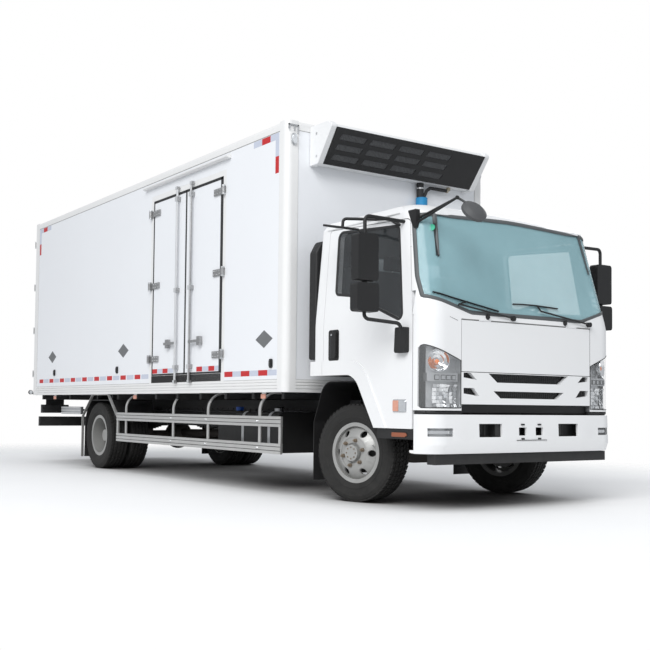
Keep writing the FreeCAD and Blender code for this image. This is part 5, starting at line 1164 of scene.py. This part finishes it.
def cushion(name, low, high, channels, top, lean=0.0):
    """A foam pad between two corners, crowned on its top side (z or x), with sewn channels along it."""
    bm = bmesh.new()
    bmesh.ops.create_cube(bm, size=1.0)
    bmesh.ops.subdivide_edges(bm, edges=bm.edges, cuts=15, use_grid_fill=True)
    size = [b - a for a, b in zip(low, high)]
    for v in bm.verts:
        u, w, h = (2 * c for c in v.co)
        along, out = (u, h) if top == "z" else (h, u)
        pulled_in = 1 - 0.10 * (w ** 6 + along ** 6)
        crown = 0.13 * (1 - w ** 4) * (1 - along ** 4) if out > 0 else 0.0
        seam = min(abs(w - c) for c in channels)
        groove = -0.10 * math.exp(-(seam / 0.035) ** 2) if out > 0.9 else 0.0
        axis = "xyz".index(top)
        v.co[axis] = v.co[axis] * pulled_in + crown + groove
    for v in bm.verts:
        place = [a + (c + 0.5) * s for a, c, s in zip(low, v.co, size)]
        place[0] -= lean * (place[2] - low[2])
        v.co = at(*place)
    mesh = bpy.data.meshes.new(name)
    bm.to_mesh(mesh)
    bm.free()
    mesh.materials.append(CLOTH)
    pad = enter(mesh, name, "cab", "seat_cloth", angle=60)
    soften = pad.modifiers.new("Soften", "SUBSURF")
    soften.levels = soften.render_levels = 1


DRIVER, BENCH = (470, 260), (-380, 450)              # each seat's middle and half width
for label, (middle, half), channels in (("driver", DRIVER, (-0.55, 0.55)),
                                        ("bench", BENCH, (-0.6, 0.0, 0.6))):
    cushion("seat_pad_" + label, (-200, middle - half, 1180), (305, middle + half, 1318), channels, "z")
    cushion("seat_back_" + label, (-345, middle - half, 1330), (-205, middle + half, 1960), channels, "x",
            lean=0.085)
frames = Form()
for middle, half in (DRIVER, BENCH):
    frames.block((-180, 270), (middle - half + 30, middle + half - 30), (1145.3, 1185), BLACK)
    frames.block((-330, -300), (middle - half + 40, middle + half - 40), (1185, 1900), BLACK,
                 Matrix.Rotation(-0.05, 3, "Y"))
under = frames.piece("seat_frames", "cab", "seat_cloth", bevel=0.004)
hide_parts("seats")
heads = Form()
for y in (470, -190, -600):
    heads.prism("xz", [(-395, 1985, 22), (-300, 1985, 22), (-305, 2110, 26), (-385, 2110, 26)], y - 120,
                y + 120, CLOTH)
    for dy in (-50, 50):
        heads.rod((-345, y + dy, 1940), (-348, y + dy, 1995), 7, ZINC, 10)
heads.piece("head_rests", "cab", "seat_cloth", bevel=0.012)

# ------------------------------------------------------------------ bumper
# Pressed white bumper with fog lamps in their recesses, tow openings darkened by black sheets behind them as
# painted shade, and a plate bracket that carries no plate. The steel bar below it is black.
surface("fog_lamps", [LENS, MESHED], slot="lamp", choose=lambda p, n: 0 if n.x > 0.4 else 1)
surface("front_bumper", [PAINT, BLACK], bevel=0.0025, angle=40,
        choose=lambda p, n: 1 if p.x < 1040 and abs(p.y) < 990 and n.x < -0.5 else 0)
front = Form()
for side in (-1, 1):
    for low, high, depth in ((578, 602, 15), (552, 560, 22), (620, 628, 22)):
        line = [(skin_x(y, 590) - depth, side * y) for y in range(800, 986, 26)]
        front.prism("xy", line + [(x - 12, y) for x, y in reversed(line)], low, high, CHROME)
# A matt black sheet behind each tow opening, with a dark rod in it: painted shade in the opening.
for y in (-430, 430):
    front.block((1010, 1016), (y - 130, y + 130), (540, 666), COVER)
    front.rod((1018, y, 560), (1018, y, 650), 9, CHASSIS, 12)
for y in (-92, 92):
    front.block((1040, 1046), (y - 50, y + 50), (553, 636), GLOSS)
    for z in (538, 648):
        front.prism("yz", rectangle((y - 22, y + 14), (z - 6, z + 6), 5), 1085, 1104.5, GLOSS)
front.prism("yz", [(-168, 520, 8), (168, 520, 8), (168, 526, 2), (-168, 526, 2)], 1090, 1106, PAINT)
front.piece("bumper_fittings", "chassis", "black_plastic", bevel=0.0015)

# ------------------------------------------------------------------ side guards
# Extruded aluminium rails with ribs rolled along them, bolted to bent hangers that come down from the
# body's frame.
surface("side_guards", ALU, bevel=0.002)
RAIL_ENDS, GUARD_FACE = (-4325, -775), 1129          # the rails' ends along the truck, and their outer faces
ribs = Form()
for side in (-1, 1):
    raised = (side * GUARD_FACE, side * (GUARD_FACE + 3.5))
    groove_shade = (side * GUARD_FACE, side * (GUARD_FACE + 1.2))
    for z in (352, 590):
        for low, high in ((3, 20), (36, 56), (72, 89)):
            ribs.block(RAIL_ENDS, raised, (z + low, z + high), ALU)
        # Black strips in the grooves between the ribs: painted shade.
        for low, high in ((25, 31), (61, 67)):
            ribs.block(RAIL_ENDS, groove_shade, (z + low, z + high), CHASSIS)
ribs.piece("guard_ribs", "chassis", "aluminium", bevel=0.001)
bolts = [((x + dx, side * 1132, z), OUT[side], (18, 18, 12))
         for x in (-1169, -2149, -2912, -4116) for dx in (-10, 10) for z in (398, 636) for side in (-1, 1)]
repeated("guard_bolts", "chassis", "galvanised", "bolt", bolts, ZINC)

# ------------------------------------------------------------------ tanks
# Steel fuel tank on plated straps with its filler, the additive tank with a blue cap, the battery box with
# its clamp bar, and the air tanks with a band round each end.
BLUE_CAP = finish("blue_cap", (0.02, 0.10, 0.45), 0.4, vary=0.15, size=20)
surface("side_tanks", [BLACK, CHASSIS], bevel=0.004, slot="frame_paint")
straps = Form()
for x in (-1820, -1340):
    straps.prism("yz", rectangle((-903, -372), (336, 724), 73), x - 22, x + 22, ZINC)
straps.rod((-1580, -640, 715), (-1580, -640, 752), 42, ZINC, 28)
straps.rod((-1580, -640, 752), (-1580, -640, 766), 48, BLACK, 28)
straps.rod((-2240, -690, 698), (-2240, -690, 724), 34, BLACK, 24)
straps.rod((-2240, -690, 724), (-2240, -690, 762), 40, BLUE_CAP, 24)
straps.block((-1850, -1180), (896, 903), (640, 660), ZINC)
for x in (-1700, -1330):
    straps.block((x - 15, x + 15), (898, 906), (560, 690), ZINC)
for x in (-2900, -3520):
    for dx in (120, 420):
        straps.lathe([(129, 0), (129, 30), (125, 30), (125, 0)], (x + dx, 500.3, 600), (1, 0, 0), ZINC, 32,
                     closed=True)
straps.piece("tank_fittings", "chassis", "frame_paint", bevel=0.0015)

# ------------------------------------------------------------------ tail
# Lamp clusters with red, amber and white lenses, a lamp over the blank plate holder, tape on the rear bar,
# rubber buffers, outline lamps on rubber stalks, and a plated bracket behind the twin wheels' guards.
RED_LENS = finish("tail_lamp", (0.42, 0.015, 0.012), 0.20, vary=0.15, size=40, coat=0.7)
surface("tail_lamps", BLACK, bevel=0.003, slot="tail_lamp")
surface("rear_mudguards", BLACK, bevel=0.002)
tail = Form()
for side in (-1, 1):
    for a, b, material in ((712, 790, AMBER), (796, 900, RED_LENS), (906, 960, CLEAR), (966, 1068, RED_LENS)):
        tail.prism("yz", rectangle((side * a, side * b), (660, 755), 0), -7066, -7058, material)
    for k in range(6):
        y = sorted((side * (200 + 140 * k), side * (338 + 140 * k)))
        tail.block((-7112.6, -7110.6), y, (508, 560), RED if k % 2 else SILVER)
tail.prism("yz", rectangle((-260, 260), (640, 790), 8), -7062, -7056, EDGE)
tail.block((-7066, -7040), (-60, 60), (796, 826), BLACK)
for side in (-1, 1):
    tail.block((-6700, -5990), (side * 880, side * 915), (642, 742), ZINC)
    for z in (650, 686, 722):
        tail.block((-6690, -6000), (side * 914, side * 922), (z, z + 12), EDGE)
    tail.block((-6360, -6320), (side * 400, side * 900), (682, 710), CHASSIS)
for y in (-620, 620):
    tail.block((-7150, -7119), (y - 60, y + 60), (905, 990), RUBBER)
for side in (-1, 1):
    stalk = [(-7100, side * 1120, 905), (-7128, side * 1150, 912), (-7150, side * 1178, 926)]
    tail.tube(smooth_path(stalk, 4), 14, RUBBER, 10)
    tail.rod((-7172, side * 1194, 934), (-7140, side * 1194, 934), 30, RUBBER, 20)
    tail.rod((-7177, side * 1194, 934), (-7172, side * 1194, 934), 25, RED_LENS, 20)
    tail.rod((-7140, side * 1194, 934), (-7135, side * 1194, 934), 25, CLEAR, 20)
tail.piece("tail_fittings", "chassis", "tail_lamp", bevel=0.0015)

# ------------------------------------------------------------------ floor
# Pale matt floor under the truck that fades into a white surround. Where ambient occlusion finds it closed
# in, under the truck, its colour is mixed towards dark brown: a painted shadow, besides the lights' own
# shadows.
FLOOR_RADIUS = 16.0
floor_mesh = bpy.data.meshes.new("floor")
ring = [(FLOOR_RADIUS * math.cos(2 * math.pi * k / 64), FLOOR_RADIUS * math.sin(2 * math.pi * k / 64), 0)
        for k in range(64)]
floor_mesh.from_pydata(ring, [], [list(range(64))])
floor = bpy.data.objects.new("floor", floor_mesh)
bpy.context.scene.collection.objects.link(floor)
ground = bpy.data.materials.new("floor_white")
ground.use_nodes = True
tree = ground.node_tree
place = node(tree, "ShaderNodeTexCoord").outputs["Object"]
cloud = node(tree, "ShaderNodeTexNoise", Scale=0.6, Detail=3.0, Vector=place)
pale = blended(tree, cloud.outputs["Fac"], (0.88, 0.88, 0.88, 1), (0.92, 0.92, 0.92, 1))
# Painted shadow: the more closed in a spot of floor is, the nearer its colour goes to a dark brown.
openness = node(tree, "ShaderNodeAmbientOcclusion", Distance=1.3)
depth = node(tree, "ShaderNodeMapRange", From_Min=0.12, From_Max=0.70, Value=openness.outputs["AO"])
matt = tree.nodes["Principled BSDF"]
matt.inputs["Roughness"].default_value = 0.9
matt.inputs["Specular IOR Level"].default_value = 0.1
feed(tree, matt.inputs["Base Color"], blended(tree, depth.outputs["Result"], (0.060, 0.052, 0.050, 1), pale))
squash = node(tree, "ShaderNodeMapping", Scale=(0.14, 0.22, 1.0), Vector=place)
reach = node(tree, "ShaderNodeVectorMath", operation="LENGTH")
feed(tree, reach.inputs[0], squash.outputs["Vector"])
fade = node(tree, "ShaderNodeMapRange", From_Min=0.75, From_Max=1.5, interpolation_type="SMOOTHSTEP",
            Value=reach.outputs["Value"])
faded = node(tree, "ShaderNodeMixShader", Fac=fade.outputs["Result"])
feed(tree, faded.inputs[1], matt.outputs["BSDF"])
feed(tree, faded.inputs[2], node(tree, "ShaderNodeBsdfTransparent").outputs["BSDF"])
feed(tree, tree.nodes["Material Output"].inputs["Surface"], faded.outputs["Shader"])
floor_mesh.materials.append(ground)

# ------------------------------------------------------------------ surround and lights
# White surround that lights the truck softly from all sides. One wide soft light stands above and in front,
# and a fill on the far side.
world = bpy.data.worlds.new("studio")
bpy.context.scene.world = world
world.use_nodes = True
sky = world.node_tree
seen = sky.nodes["Background"]
seen.inputs["Color"].default_value = (1, 1, 1, 1)
seen.inputs["Strength"].default_value = 1.0
lit = node(sky, "ShaderNodeBackground", Color=(0.93, 0.96, 1.0, 1.0), Strength=0.58)
choice = node(sky, "ShaderNodeMixShader", Fac=node(sky, "ShaderNodeLightPath").outputs["Is Camera Ray"])
feed(sky, choice.inputs[1], lit.outputs["Background"])
feed(sky, choice.inputs[2], seen.outputs["Background"])
feed(sky, sky.nodes["World Output"].inputs["Surface"], choice.outputs["Shader"])


def soft_light(name, place, size, power):
    """A rectangular light in metres and watts, turned to the middle of the truck."""
    lamp = bpy.data.lights.new(name, "AREA")
    lamp.shape, lamp.size, lamp.size_y, lamp.energy = "RECTANGLE", size[0], size[1], power
    holder = bpy.data.objects.new(name, lamp)
    bpy.context.scene.collection.objects.link(holder)
    holder.location = place
    holder.rotation_euler = (Vector((0, 0, 1.2)) - Vector(place)).to_track_quat("-Z", "Y").to_euler()
    return holder


key = soft_light("key", (11.8, -14.6, 14.0), (17, 11), 3950)
fill = soft_light("fill", (-2.0, 9.0, 6.0), (8, 5), 200)

# ------------------------------------------------------------------ camera
# It stands 0.77 m above the floor, in front of the truck's right-hand corner, and looks slightly up at it
# through a lens of 56 mm, with the frame shifted a little upwards.
camera = bpy.data.cameras.new("camera")
camera.sensor_width, camera.lens, camera.shift_x, camera.shift_y = 36.0, 55.673, 0.00643, 0.06232
camera.clip_end = 200.0
eye = bpy.data.objects.new("camera", camera)
bpy.context.scene.collection.objects.link(eye)
eye.matrix_world = Matrix(((0.56954762, 0.02827200, 0.82147197, 9.5372675),
                           (0.82189508, -0.03198707, -0.56874010, -5.83787367),
                           (0.01019706, 0.99908835, -0.04145478, 0.76666317),
                           (0, 0, 0, 1)))
bpy.context.scene.camera = eye
bpy.context.scene.view_settings.view_transform = "Standard"
bpy.context.scene.view_settings.look = "None"
